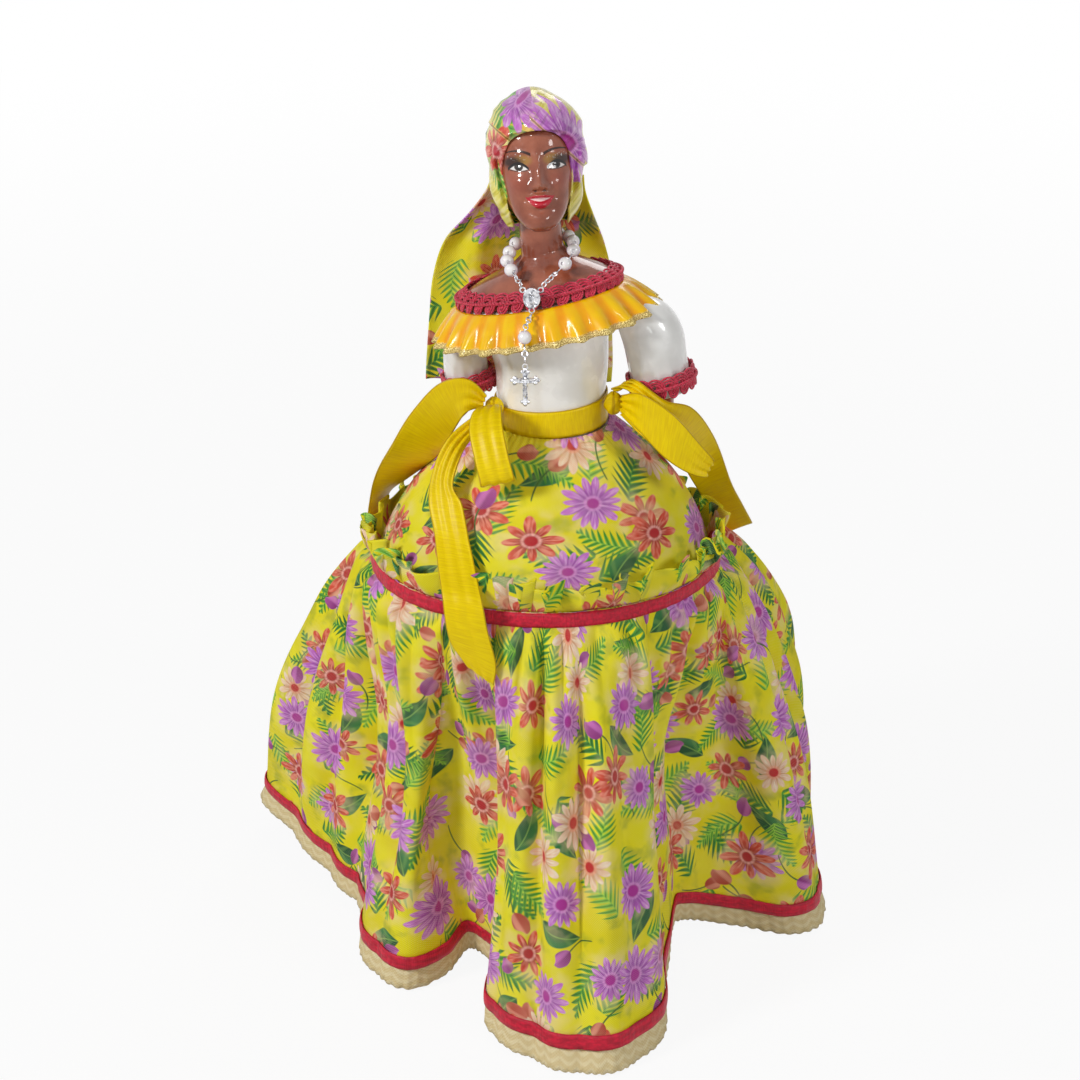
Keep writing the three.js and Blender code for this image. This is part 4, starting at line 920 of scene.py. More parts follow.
def ribbonPiece(name, stations):
    middle = curveThrough([place for place, _, _ in stations])
    across = curveThrough([way for _, way, _ in stations])
    wide = curveThrough([share for _, _, share in stations])
    length = float(np.linalg.norm(np.diff(middle(np.linspace(0, 1, 400)), axis=0), axis=1).sum())

    def place(u, v):
        side = unit(across(v))
        tangent = middle(np.minimum(v + 0.01, 1)) - middle(np.maximum(v - 0.01, 0))
        face = unit(np.cross(side, tangent))
        share = wide(v)[..., 0]
        gather = np.clip(1 - share, 0, 1)
        reach = (u - 0.5) * ribbonCut["width"] * share
        pleat = 1.1 * gather * np.sin((u - 0.5) * 3 * fullTurn) + 0.35 * (1 - (2 * u - 1) ** 2)
        return middle(v) + side * reach[..., None] + face * pleat[..., None]

    piece = clothPiece(f"{name}_ribbon", ribbonCut, place,
                       lambda u, v: (u * ribbonCut["width"], v * length), closed=False)
    dress(piece, satin, name)
    shares = float(wide(np.linspace(0, 1, 200)).mean())


for name, stations in bowRibbons.items():
    ribbonPiece(name, stations)

knots = {"left_bow_knot": (-20.5, -15, 271.6), "right_bow_knot": (32.6, -12.4, 273)}
knotLook = {"half": (4.6, 3.4, 5.2), "columns": 48, "rows": 28, "cut": (21, 14)}


def knotPiece(name, middle):
    wide, deep, tall = knotLook["half"]
    run, drop = knotLook["cut"]

    def place(u, v):
        turn, fall = u * fullTurn, (v - 0.5) * math.pi
        folds = 1 - 0.13 * np.abs(np.sin(2.5 * turn + 2.2 * fall)) * np.cos(fall)
        return stack(middle[0] + wide * np.cos(fall) * np.sin(turn) * folds,
                     middle[1] - deep * np.cos(fall) * np.cos(turn) * folds,
                     middle[2] - tall * np.sin(fall) * (1 - 0.08 * np.sin(3 * turn)))

    tied = laidGrid(f"{name}_tied", knotLook["columns"], knotLook["rows"], place,
                    lambda u, v: (u * run, v * drop), closed=True, capped=True)
    dress(tied, satin, name)


for name, middle in knots.items():
    knotPiece(name, middle)
print("sash tied")

# Cast figure: bodice, sleeves, bust and arms
# Up the torso: height, half width, half depth, and the middle's place back and sideways
torsoStations = [
    (-54, 24.4, 23.4, 0, 0), (-46, 24.4, 23.4, 0, 0), (-30, 25.2, 23.4, -0.4, 0), (-15, 26.6, 24.6, -1.4, 0),
    (-4, 30, 25, -1.6, 0), (3, 34.5, 24.4, -1.2, 0), (9, 37, 23, -1, 0), (14, 34, 20, -0.8, 0.6),
    (19, 24.5, 16, -0.6, 2), (23, 15.5, 12.4, -0.4, 4), (27, 10.5, 10, 0, 5.6), (31, 7, 7, 0, 6.6),
]


chestTilt = -9


def torsoPoint(angle, height, offset, shrink=1):
    halfWidth, halfDepth, middle, sideways = alongStations(torsoStations, height)
    tilt = np.radians(chestTilt) * smooth((height + 46) / 42)
    x = sideways + (halfWidth + offset) * shrink * np.sin(angle)
    y = middle - (halfDepth + offset) * shrink * np.cos(angle)
    points = stack(x * np.cos(tilt) + height * np.sin(tilt), y, height * np.cos(tilt) - x * np.sin(tilt) + 46)
    return moved(points, figureFrame)


# Rows of a closed cast form: shrink falls to 0 at both ends, so the grid closes there
def closedRows(v, low, high, ends=0.05):
    fall = np.clip((v - ends) / (1 - 2 * ends), 0, 1)
    return mix(low, high, fall), np.minimum(np.minimum(v, 1 - v) / ends, 1)


def whitePaint():
    paint = Paint("white_varnish", Roughness=0.2, Coat_Weight=0.8, Coat_Roughness=0.06)
    place = paint.bodyPlace()
    brush = paint.noise(place, 0.07, 3)
    paint.set("Base Color", paint.blend("#E9E8E4", "#FBFAF7", brush.between(0.3, 0.7)))
    paint.set("Roughness", 0.18 + brush * 0.16)
    paint.set("Normal", paint.bump(paint.noise(place, 0.06, 2), 0.25, 0.0015))
    return paint


whiteVarnish = whitePaint()


def bodicePlace(u, v):
    height, shrink = closedRows(v, 8.7, -51.5, 0.04)
    return torsoPoint(u * fullTurn, height, 0, shrink)


bodice = laidGrid("bodice_cast", 120, 90, bodicePlace, closed=True, capped=True)
dress(bodice, whiteVarnish, "bodice")


waistLook = {"top": -39, "end": -51.8, "seat": 0.7, "run": 160, "columns": 160, "rows": 8, "thickness": 0.6}


def waistbandPlace(u, v):
    lift = waistLook["seat"] + 0.25 * np.sin(math.pi * v) + 0.12 * np.sin(26 * u * fullTurn) * v
    return torsoPoint(u * fullTurn, mix(waistLook["top"], waistLook["end"], v), lift)


waistband = clothPiece("waistband_ribbon", waistLook, waistbandPlace,
                       lambda u, v: (v * ribbonCut["width"], u * waistLook["run"]))
dress(waistband, satin, "waistband")

# Collar: stiffened satin in soft flutes, glitter along its edge, lower where the rosary swings over it
collarCut = {"inner": (37.9, 25.9), "outer": (51, 38), "drop": 14, "wave": 1.5, "count": 26, "neckline": 9,
             "seat": 0.3, "columns": 420, "rows": 18, "thickness": 1.1, "dropPlace": (-8, -38.4, 312),
             "run": 330, "fall": 18}
dropSide = chestFrame.inverted() @ Vector(collarCut["dropPlace"])
dropAngle = math.atan2(dropSide.x, -dropSide.y)


def collarPlace(u, share):
    angle = u * fullTurn
    flutes = collarCut["count"] * angle + 0.9 * np.sin(3 * angle)
    pressed = np.exp(-((np.sin((angle - dropAngle) / 2)) / 0.13) ** 2)
    ripple = 1.25 * np.sin(flutes) * (1 - 0.55 * pressed) - 0.12 * np.cos(2 * flutes)
    wave = collarCut["wave"] * share * ripple - 0.7 * share * pressed
    reach = np.maximum(share, 1e-6) ** 0.85
    across = mix(collarCut["inner"][0], collarCut["outer"][0], reach) + wave
    deep = mix(collarCut["inner"][1], collarCut["outer"][1], reach) + wave
    height = collarCut["neckline"] - collarCut["seat"] - collarCut["drop"] * np.maximum(share, 1e-6) ** 1.15
    return moved(stack(across * np.sin(angle), -1 - deep * np.cos(angle), height), chestFrame)


def goldPaint():
    paint = Paint("gold_cloth", Roughness=0.36, Specular_IOR_Level=0.15, Coat_Weight=0.3, Coat_Roughness=0.1)
    place = paint.cutPlace()
    x, y, _ = paint.sides(place)
    angle = x * (fullTurn / collarCut["run"])
    fluteShade = (collarCut["count"] * angle + (3 * angle).sin() * 0.9).sin()
    mottle = paint.noise(place, 0.1, 2).between(0.3, 0.7) * 0.4
    # Darker in each flute's hollow and lighter on its crest: painted shade and painted highlight, over a
    # random mottle
    tone = paint.blend("#F79C00", "#FFCE00", mottle + fluteShade.between(-1, 0.5) * 0.6)
    edge = (y + paint.noise(place, 0.5, 2) * 1.6).between(15.6, 16.8)
    grains = paint.noise(place, 2.6, 1)
    glitter = paint.blend("#7A5A12", "#FFF3B0", grains.between(0.42, 0.62))
    paint.set("Base Color", paint.blend(tone, glitter, edge * 0.85))
    paint.set("Metallic", edge * grains.between(0.5, 0.6) * 0.7)
    paint.set("Roughness", 0.24 + edge * 0.25)
    soft = paint.noise(paint.point(x * 0.16, y * 0.05), 1, 2)
    paint.set("Normal", paint.bump(grains * edge, 0.7, 0.0005, paint.bump(soft, 0.15, 0.0012)))
    return paint


gold = goldPaint()
collar = clothPiece("collar_flounce", collarCut, collarPlace,
                    lambda u, v: (u * collarCut["run"], v * collarCut["fall"]))
dress(collar, gold, "collar_ruffle")

# Down each sleeve, on the chest: place and radius
armStations = {
    "left": [(-30, 0, 4, 8), (-36.5, 1, -3, 9.8), (-41, 2.2, -12, 10), (-43.5, 3.5, -23, 10),
             (-43.5, 3.5, -34, 10)],
    "right": [(31, 0, 4, 8), (42, 0.5, -5, 12), (46, 1, -17, 13.6), (45.5, 2, -33, 13.2),
              (45.5, 2, -45, 13.2)],
}
sleeveLook = {"wall": 1.4, "outerRows": 0.62, "innerRows": 0.33, "depth": 0.36, "columns": 72, "rows": 100}


def sleevePiece(side):
    curve = curveThrough(armStations[side])

    def place(u, v):
        outerRows = sleeveLook["outerRows"]
        outside = v < outerRows
        down = np.maximum(v / outerRows * 1.02 - 0.02, 0)
        up = 1 - np.clip((v - outerRows) / sleeveLook["innerRows"], 0, 1) * sleeveLook["depth"]
        share = np.where(outside, down, up)  # down the outside, then up into the opening
        inset = np.where(outside, 0.0, sleeveLook["wall"])
        x, y, z, radius = np.moveaxis(curve(share), -1, 0)
        angle = u * fullTurn
        tucks = 0.28 * np.sin(13 * angle) * smooth((share - 0.55) / 0.3) * outside
        shrink = np.minimum(v / 0.02, 1) * np.minimum((1 - v) / 0.03, 1)
        radius = (radius - inset + tucks) * shrink
        return moved(stack(x + radius * np.sin(angle), y - radius * np.cos(angle), z), chestFrame)

    piece = laidGrid(f"{side}_sleeve_cast", sleeveLook["columns"], sleeveLook["rows"], place, closed=True,
                     capped=True)
    dress(piece, whiteVarnish, f"{side}_sleeve")


for side in armStations:
    sleevePiece(side)
print("figure cast")


# Bust: head, neck and shoulders run into one another as one casting
# Up the head: height, front, widest place, back, half width
headStations = [
    (-28, -19, -15.5, -12, 3.4), (-26, -21.2, -15, -9, 6.6), (-22, -21.8, -12, -4, 10.2),
    (-16, -21.2, -8, 5, 13.2), (-10, -21.2, -5, 14, 15), (-2, -20.4, -3, 20, 16.6), (6, -20, -1, 22, 17.4),
    (14, -18.4, 0, 21.5, 17), (20, -14.8, 1, 18.5, 14.4), (25, -9, 2, 13, 9.8), (28, -2.5, 3, 7, 4),
]
# Raised and sunk places of the face: side, height, reach sideways, reach in height, depth
faceForms = [
    (0, 2, 1.9, 5, 1.6), (0, -4.5, 1.9, 3.6, 2.4), (0, -7.6, 2.5, 2.1, 3.4), (3.1, -8.4, 1.5, 1.5, 1.7),
    (8.2, 0.4, 4.6, 3.2, -2.3), (8.2, 0, 3.1, 1.9, 1.5), (8.4, 5.6, 5.5, 1.8, 0.6), (9.8, -6.5, 4.4, 4, 1.2),
    (1.6, -12, 3.2, 1.1, 1.7), (0, -15.8, 4.2, 1.4, 2.1), (0, -13.8, 4.6, 0.6, -1), (0, -18.8, 5, 1.3, -0.8),
    (0, -22.8, 4, 2.8, 1.1),
    (8.3, 2.5, 4, 0.6, 0.35), (8, -2.5, 3.4, 0.6, 0.3), (1.9, -9.9, 0.8, 0.6, -0.9), (0, -10.6, 0.7, 1, -0.4),
    (6.4, -13.9, 0.8, 0.9, -0.5),
]


def faceRelief(x, z):
    total = 0 * x
    for side, height, reach, rise, depth in faceForms:
        for middle in ((side, -side) if side else (0,)):  # both sides of the face, or its middle
            total = total + depth * np.exp(-((x - middle) / reach) ** 2 - ((z - height) / rise) ** 2)
    return total


def headPlace(u, v):
    height, shrink = closedRows(v, 28, -28, 0.035)
    front, widest, back, halfWidth = alongStations(headStations, height)
    turn = u * fullTurn
    angle = turn - 0.42 * np.sin(turn)
    x = halfWidth * np.sin(angle)
    forward = np.cos(angle)
    y = widest + np.where(forward > 0, front - widest, widest - back) * forward
    y = y - np.where(forward > 0, faceRelief(x, height) * smooth(forward * 2), 0)
    middle = (front + back) / 2
    return moved(stack(x * shrink, middle + (y - middle) * shrink, height), headFrame)


neckLook = {"foot": (2.6, 0.5, 326), "top": (-1.2, 1.5, 364), "radius": 9.2, "flare": 1.6}


def neckPlace(u, v):
    share, shrink = closedRows(v, 1, 0, 0.05)
    foot, top = neckLook["foot"], neckLook["top"]
    radius = (neckLook["radius"] + neckLook["flare"] * (1 - share) ** 3) * shrink
    return stack(mix(foot[0], top[0], share) + radius * np.sin(u * fullTurn),
                 mix(foot[1], top[1], share) - radius * np.cos(u * fullTurn), mix(foot[2], top[2], share))


def chestPlace(u, v):
    height, shrink = closedRows(v, 31, 9.15, 0.04)
    return torsoPoint(u * fullTurn, height, 0, shrink)


faceTilt = [math.radians(a) for a in headTilt["turn"]]


# Pieces made into one, named for what they are together
def joined(name, pieces):
    only(*pieces)
    bpy.ops.object.join()
    pieces[0].name = pieces[0].data.name = name
    return pieces[0]


# Joined forms run into one another as one casting
def melt(piece, grain, passes):
    run = piece.modifiers.new("run", "REMESH")
    run.mode = "VOXEL"
    run.voxel_size = grain * mm
    run.use_smooth_shade = True
    ease = piece.modifiers.new("ease", "SMOOTH")
    ease.factor = 0.5
    ease.iterations = passes
    apply(piece, "run", "ease")


# Where a point is on the turned head, in millimetres from its middle
def onHead(paint):
    return paint.add("Mapping", {"vector_type": "TEXTURE"},
                     {"Vector": paint.bodyPlace(), "Location": headTilt["place"], "Rotation": faceTilt})


def skinPaint():
    paint = Paint("skin", Roughness=0.34, Specular_IOR_Level=0.1, Coat_Weight=0.75, Coat_Roughness=0.05)
    body = paint.bodyPlace()
    tone = paint.blend("#8A4630", "#AA6248", paint.noise(body, 0.09, 3).between(0.3, 0.7))
    face = onHead(paint)
    x, y, z = paint.sides(face)
    side = x.abs()
    front = (y < -8) * (z > -27) * (z < 16)

    def oval(middle, height, reach, rise, soft=0.25):
        far = (((side - middle) / reach) ** 2 + ((z - height) / rise) ** 2).root()
        return 1 - far.between(1 - soft, 1 + soft)

    def paintOn(colour, mask, base):
        return paint.blend(base, colour, mask * front)

    tone = paintOn("#A9503F", oval(10, -6.5, 4.5, 3.6, 0.9) * 0.45, tone)  # cheeks
    tone = paintOn("#B58A3A", oval(6.2, 3, 3.4, 2.2, 0.5) * 0.75, tone)  # lids, gold inside and dark outside
    tone = paintOn("#241210", oval(10.6, 2.3, 4, 2.3, 0.5) * 0.9, tone)
    sparkle = paint.noise(face, 1.1, 1).between(0.6, 0.68)
    glitter = sparkle * oval(8.2, 4.6, 4.6, 1.3, 0.4) * 0.8
    tone = paintOn("#E9E6E2", glitter, tone)  # silver under the brow
    bend = z + (side - 8) * (side - 8) * 0.05 - (side - 8) * 0.06
    eye = (1.55 - (bend - 0.1).abs() - ((side - 8.1) / 3.9) ** 2 * 1.5).between(0, 0.3)
    tone = paintOn("#F1EEEA", eye, tone)
    tone = paintOn("#3A2A24", eye * oval(8.1, 0.3, 1.8, 1.7, 0.12), tone)
    tone = paintOn("#0D0908", eye * oval(8.1, 0.3, 1.1, 1.05, 0.15), tone)
    # A white dot in each iris is a painted highlight
    tone = paintOn("#FFFFFF", eye * oval(7.5, 0.9, 0.4, 0.35, 0.3), tone)
    lash = 1 - (bend - 1.75 + ((side - 8.1) / 4.3) ** 2 * 1.5).abs().between(0.45, 0.85)
    tone = paintOn("#150D0C", lash * (side > 3.9) * (side < 12.6), tone)
    under = 1 - (bend + 1.5 - ((side - 8.1) / 4.1) ** 2 * 1.4).abs().between(0.1, 0.35)
    tone = paintOn("#3B211C", under * (side > 4.6) * (side < 12.2) * 0.8, tone)
    arch = z - 6.9 + (side - 8.5) * (side - 8.5) * 0.045 - (side - 3) * 0.05
    thick = (0.75 - (side - 3) * 0.05).atLeast(0.1)
    brow = (1 - (arch.abs() / thick).between(0.7, 1.1)) * (side > 2.8) * (side < 13)
    tone = paintOn("#35170F", brow, tone)
    mouth = (z + 13.9) - side * side * 0.028
    bow = 2.4 - (side - 1.7).abs() * 0.14 - side * side * 0.042
    upperLip = (bow - mouth).between(0, 0.3) * (mouth + 0.2).between(0, 0.3)
    lowerLip = (mouth + 3.9 - side * side * 0.1).between(0, 0.35) * (0.6 - mouth).between(0, 0.3)
    lips = upperLip.atLeast(lowerLip) * (side < 6.3)
    tone = paintOn("#C4122C", lips, tone)
    teeth = (0.8 - (mouth - 0.05).abs() - side * side * 0.035).between(0, 0.25)
    tone = paintOn("#F6D9D6", teeth * (side < 4.8), tone)
    tone = paintOn("#2C0F0B", oval(1.9, -10, 0.75, 0.45, 0.3) * 0.8, tone)  # nostrils
    paint.set("Base Color", tone)
    pores = paint.noise(body, 0.35, 3)
    paint.set("Roughness", 0.24 + pores * 0.14)
    drips = paint.noise(body, 0.16, 3)
    paint.set("Normal", paint.bump(drips, 0.5, 0.0014, paint.bump(pores, 0.2, 0.0004)))
    return paint


skin = skinPaint()
castings = [
    laidGrid("bust_head", 200, 190, headPlace, closed=True, capped=True),
    laidGrid("bust_neck", 64, 60, neckPlace, closed=True, capped=True),
    laidGrid("bust_chest", 130, 60, chestPlace, closed=True, capped=True),
]
bust = joined("figure_bust_cast", castings)
melt(bust, 0.5, 2)
dress(bust, skin, "figure_bust")


# Forearms and hands: the CAD's forms, rounded
def roundedCopy(node, name):
    piece = added(name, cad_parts[node].data.copy())
    only(piece)
    bpy.ops.object.mode_set(mode="EDIT")
    bpy.ops.mesh.select_all(action="SELECT")
    bpy.ops.mesh.remove_doubles(threshold=1e-5)
    bpy.ops.mesh.tris_convert_to_quads()
    bpy.ops.object.mode_set(mode="OBJECT")
    bpy.ops.object.shade_smooth()
    fine = piece.modifiers.new("fine", "SUBSURF")
    fine.levels = fine.render_levels = 2
    apply(piece, "fine")
    return piece


# Each hand lies along the skirt: four fingers side by side and a thumb in front
hands = {"end": {"left": (-50.5, 20.5, 238.5), "right": (58, 13, 239)}, "back": 8.5, "spacing": 2.15,
         "radius": 1.3, "lengths": (8.6, 10, 10.4, 9.2), "fan": 0.12, "thumb": (4.4, 3.4, 6.5),
         "joints": (0, 0.3, 0.6, 0.85, 0.97, 1), "thickness": (1.05, 0.95, 1, 0.85, 0.55, 0.2)}


def fingerTubes(side):
    end = Vector(hands["end"][side])
    opening = chestFrame @ Vector(armStations[side][-1][:3])
    ahead = (end - opening).normalized()
    out = Vector((end.x - dome["waist"][0], end.y, abs(end.x) * 0.8))
    forward = ahead.cross(out).normalized()
    forward = forward if forward.y < 0 else -forward
    knuckles = end - ahead * hands["back"]
    back, sideways, long = hands["thumb"]
    bones = [(knuckles - ahead * back + forward * sideways, ahead + forward * 0.45, long)]
    for i, length in enumerate(hands["lengths"]):
        beside = forward * (1.5 - i)
        bones.append((knuckles + beside * hands["spacing"], ahead + beside * hands["fan"], length))
    thick = np.array(hands["thickness"]) * hands["radius"]
    tubes = []
    for root, way, length in bones:
        along = [root + way.normalized() * length * share for share in hands["joints"]]
        tubes.append(tubeMesh(along, thick, 12, closed=False))
    return tubes


for side in armStations:
    forearm = roundedCopy(f"{side}_arm", "forearm")
    arm = joined(f"{side}_arm_cast", [forearm, meshPiece("fingers", fingerTubes(side))])
    melt(arm, 0.36, 4)
    dress(arm, skin, f"{side}_arm")
print("bust and arms cast")

# Head wrap: varnished print bound round the skull, open over the face
# Up the wrap: height, front, widest place, back, half width
wrapStations = [
    (-27, -9, 3, 15, 13.5), (-22, -14, 1, 18.5, 16.8), (-14, -18, -1, 22, 19.4), (-4, -20.5, -2, 24.5, 20.4),
    (6, -22.8, -1, 25.5, 20.8), (14, -22.4, 0, 25, 20.4), (20, -19.4, 1, 22, 18), (26, -13.6, 2, 17, 13.4),
    (30, -6.5, 3, 10.5, 7),
]
# Half width of the opening at each height, up to the brow
faceOpening = [(-34, 12), (-22, 12.6), (-12, 14.4), (0, 15.2), (5, 14.6), (9, 12.9), (12, 10.4),
               (14.2, 6.8), (15.2, 3.2)]
wrapLook = {"top": 30, "end": -27, "crownRows": 0.08, "crown": 2.5, "columns": 200, "rows": 150,
            "thickness": 0.9, "run": 125, "fall": 75, "cutAt": (60, 20)}


def wrapPlace(u, v):
    crownRows = wrapLook["crownRows"]
    height = mix(wrapLook["top"], wrapLook["end"], np.clip((v - crownRows) / (1 - crownRows), 0, 1))
    shrink = np.minimum(v / crownRows, 1)
    crown = wrapLook["crown"] * (1 - shrink ** 2)
    front, widest, back, halfWidth = alongStations(wrapStations, height)
    brow = faceOpening[-1][0]
    opening = alongStations(faceOpening, np.minimum(height, brow))[0]
    opening = np.where(height > brow, 0, opening)
    start = np.arcsin(np.clip(opening / halfWidth, 0, 1))
    angle = mix(start, fullTurn - start, u)
    fold = 0.5 * np.sin(5 * angle + height * 0.34)
    x = (halfWidth + fold) * np.sin(angle)
    forward = np.cos(angle)
    toFront = widest + (front - widest - fold) * forward
    toBack = widest - (back - widest + fold) * forward
    y = np.where(forward > 0, toFront, toBack)
    # Two laps cross over the forehead, the upper one from the doll's left
    upperLap = smooth((height - (17.5 - 1.05 * (x - 1))) / 1.4) * smooth((x + 4) / 5) * (forward > 0)
    lowerLap = smooth((height - (14 - 0.9 * (x + 14))) / 1.2) * smooth((3 - x) / 5) * (forward > 0)
    creases = 0.5 * np.abs(np.sin((height + x * 1.05) * 0.42)) * smooth((height - 4) / 6)
    lift = 1.5 * upperLap + 0.9 * lowerLap - creases
    headFront, headWide, _, headHalf = alongStations(headStations, np.clip(height, -28, 28))
    bare = headWide + (headFront - headWide) * np.sqrt(np.clip(1 - (x / headHalf) ** 2, 0, 1)) - 1.1
    edge = np.minimum(angle - start, fullTurn - start - angle) * halfWidth
    near = (1 - smooth(edge / 6)) * (height < brow + 0.1) * (forward > 0)
    y = mix(y, np.maximum(bare, y), near * 0.8)
    out = unit(stack(x, y - widest, 0 * x)) * (lift * (1 - near))[..., None]
    points = stack(x * shrink, widest + (y - widest) * shrink, height + crown) + out * shrink[..., None]
    return moved(points, headFrame)


def wrapPaint():
    paint = Paint("print_varnished", Roughness=0.4, Specular_IOR_Level=0.15, Coat_Weight=0.6,
                  Coat_Roughness=0.07)
    x, y, z = paint.sides(onHead(paint))
    foldStreaks = paint.noise(paint.point((z - x) * 0.4, (z + x) * 0.07, y * 0.06), 1, 3)
    past = (y + 13).atLeast(0) * 0.9  # the pattern runs round the side of the head
    sideways = x + ((x > 0) * 2 - 1) * past
    face = paint.point(sideways, z + sideways * 0.25)
    # The ground is painted lighter and darker along the diagonal fold streaks: painted highlight and painted
    # shade
    tone = paint.blend("#DFD22C", "#EFE48A", foldStreaks.between(0.35, 0.65))
    tone = paint.blend(tone, "#E6B518", (1 - ((x * x * 0.5 + (z - 15) ** 2).root()).between(4, 9)) * 0.9)
    tone = ferns(paint, tone, face, 90, (14, -17), 17, "#1F6A2A", "#7CC24A", 0)
    tone = ferns(paint, tone, face, 90, (22, 6), 13, "#2E7F2C", "#8FD052", 0)
    tone = flowers(paint, tone, face, 90, (18, -3), 12, [{"from": 0, **rose}], 0)
    tone = leaves(paint, tone, face, 41, (12, -30), 11, "#16502F", "#2F8246")
    tone = flowers(paint, tone, face, 90, (8, -27), 13, [{"from": 0, **orchid}], 0)
    tone = flowers(paint, tone, face, 90, (-13, -12), 19, [{"from": 0, **orchid}], 0)
    # Pale on the fold ridges is painted highlight, brown in the fold hollows is painted shade
    tone = paint.blend(tone, "#F7E9F2", foldStreaks.between(0.6, 0.8) * 0.25)
    tone = paint.blend(tone, "#4A3A20", (1 - foldStreaks.between(0.3, 0.5)) * 0.3)
    # A dark band along each lap's edge is painted shade in the fold, with a gold line either side
    edgeRight = (z - 18 + (x - 1) * 1.05).abs() + (x < -2) * 9
    edgeLeft = (z - 14.5 + (x + 14) * 0.9).abs() + (x > 1) * 9
    edge = edgeRight.atMost(edgeLeft)
    tone = paint.blend(tone, "#8F6A16", (1 - edge.between(0.25, 0.7)) * 0.8)
    tone = paint.blend(tone, "#E8C35A", (1 - (edge - 0.7).abs().between(0.1, 0.4)) * 0.7)
    cut = paint.cutPlace()
    tone = paint.blend(tone, printedGround(paint, cut), y.between(4, 8))  # the plain print behind
    along, down, _ = paint.sides(cut)
    weave = (along * 6).sin() * (down * 6).sin()
    paint.set("Base Color", tone)
    paint.set("Roughness", 0.36 + weave * 0.05)
    paint.set("Normal", paint.bump(foldStreaks, 0.45, 0.0012, paint.bump(weave, 0.3, 0.00012)))
    return paint


def wrapCut(u, v):
    across, down = wrapLook["cutAt"]
    return u * wrapLook["run"] + across, v * wrapLook["fall"] + down


wrapCloth = wrapPaint()
wrap = clothPiece("head_wrap_cloth", wrapLook, wrapPlace, wrapCut, offset=-1)
dress(wrap, wrapCloth, "head_wrap")
print("head wrapped")

# Red gimp braid: cord laid in overlapping loops round the neckline and cuffs
braidLook = {"cord": 0.52, "cords": 3, "narrower": 1.25, "steps": 24, "overlap": 3.4, "rise": 0.8,
             "neckHalf": 4.6, "neckLoops": 34, "neckRun": 196, "cuffHalf": 4.9, "cuffLoop": 5.6}


def braidPaint():
    paint = Paint("red_braid", Roughness=0.55, Sheen_Weight=0.3)
    place = paint.bodyPlace()
    threads = paint.noise(place, 1.6, 2)
    tone = paint.blend("#A50F2C", "#E02A50", threads.between(0.3, 0.7))
    # Pink on the high threads is painted sheen
    paint.set("Base Color", paint.blend(tone, "#F4708A", threads.between(0.62, 0.8) * 0.5))
    paint.set("Roughness", 0.42 + threads * 0.25)
    paint.set("Normal", paint.bump(threads, 0.5, 0.0003))
    return paint


braidRed = braidPaint()


def gimpBraid(name, node, around, halfWidth, loops, length):
    cords, look = [], braidLook
    turn = np.linspace(0, 1, loops * look["steps"], endpoint=False)
    phase = turn * loops * fullTurn
    for cord in range(look["cords"]):
        size = 1 - cord * look["narrower"] / halfWidth
        back = look["overlap"] * size * np.sin(phase) + 0.9 * np.cos(phase)
        lift = look["cord"] + look["rise"] * (0.5 + 0.5 * np.sin(phase + 0.8))
        line = around((turn + back / length) * fullTurn, halfWidth * size * np.cos(phase), lift)
        cords.append(tubeMesh(line, look["cord"], 6))
    for strand in (0, math.pi):  # the twisted cord along the middle
        phase = turn * loops * 2 * fullTurn + strand
        lift = look["cord"] + look["rise"] + 0.5 + 0.4 * np.sin(phase)
        cords.append(tubeMesh(around(turn * fullTurn, 0.42 * np.cos(phase), lift), look["cord"], 6))
    dress(meshPiece(name, cords), braidRed, node)


def neckBraidPlace(angle, sideways, lift):
    points = torsoPoint(angle, 11.9 + sideways * 0.82, 0.5 + lift)
    return points + stack(0, 0, (0.3 + lift) * 0.6)


def cuffBraid(side):
    x, y, z, radius = armStations[side][-1]

    def place(angle, sideways, lift):
        reach = radius + 0.6 + lift
        ring = stack(x + reach * np.sin(angle), y - reach * np.cos(angle), z + 5.5 + sideways)
        return moved(ring, chestFrame)

    run = fullTurn * (radius + 1.5)
    loops = round(run / braidLook["cuffLoop"])
    gimpBraid(f"{side}_cuff_gimp", f"{side}_cuff_braid", place, braidLook["cuffHalf"], loops, run)


gimpBraid("neckline_gimp", "neckline_braid", neckBraidPlace, braidLook["neckHalf"], braidLook["neckLoops"],
          braidLook["neckRun"])
for side in armStations:
    cuffBraid(side)
print("braid sewn on")

# Rosary
rosary = {
    "bead": 3, "bore": 0.9, "boreEdge": 0.12, "boreDepth": 0.8, "wire": 0.35,
    "link": (1.5, 1.1, 0.32), "linkOverlap": 0.315, "linkStart": 0.825,
    "ear": 1.1, "earWire": 0.34, "earAt": (3.9, 3.7),
    "medal": (-3.6, -28.8, 328.6), "medalHalf": (3.7, 4.7), "medalDepth": 1.2,
    "dropBead": (-6.6, -38.4, 314.1), "crossBail": (-6.4, -42.9, 302.4),
    "crossArm": (5.6, 5, 11), "crossBar": (1.1, 0.7),
    "neck": [
        (-12.6, -16.4, 337), (-14.4, -9.2, 338.6), (-13.4, -1.8, 340), (-10.7, 5.7, 341.4), (-6, 11.6, 342.8),
        (1.35, 13.7, 343.6), (8.3, 11.4, 344.2), (12.6, 6.2, 344.6), (14.4, -0.7, 344.6), (14.6, -8.2, 343.2),
        (10.9, -17.4, 340.2)],
}


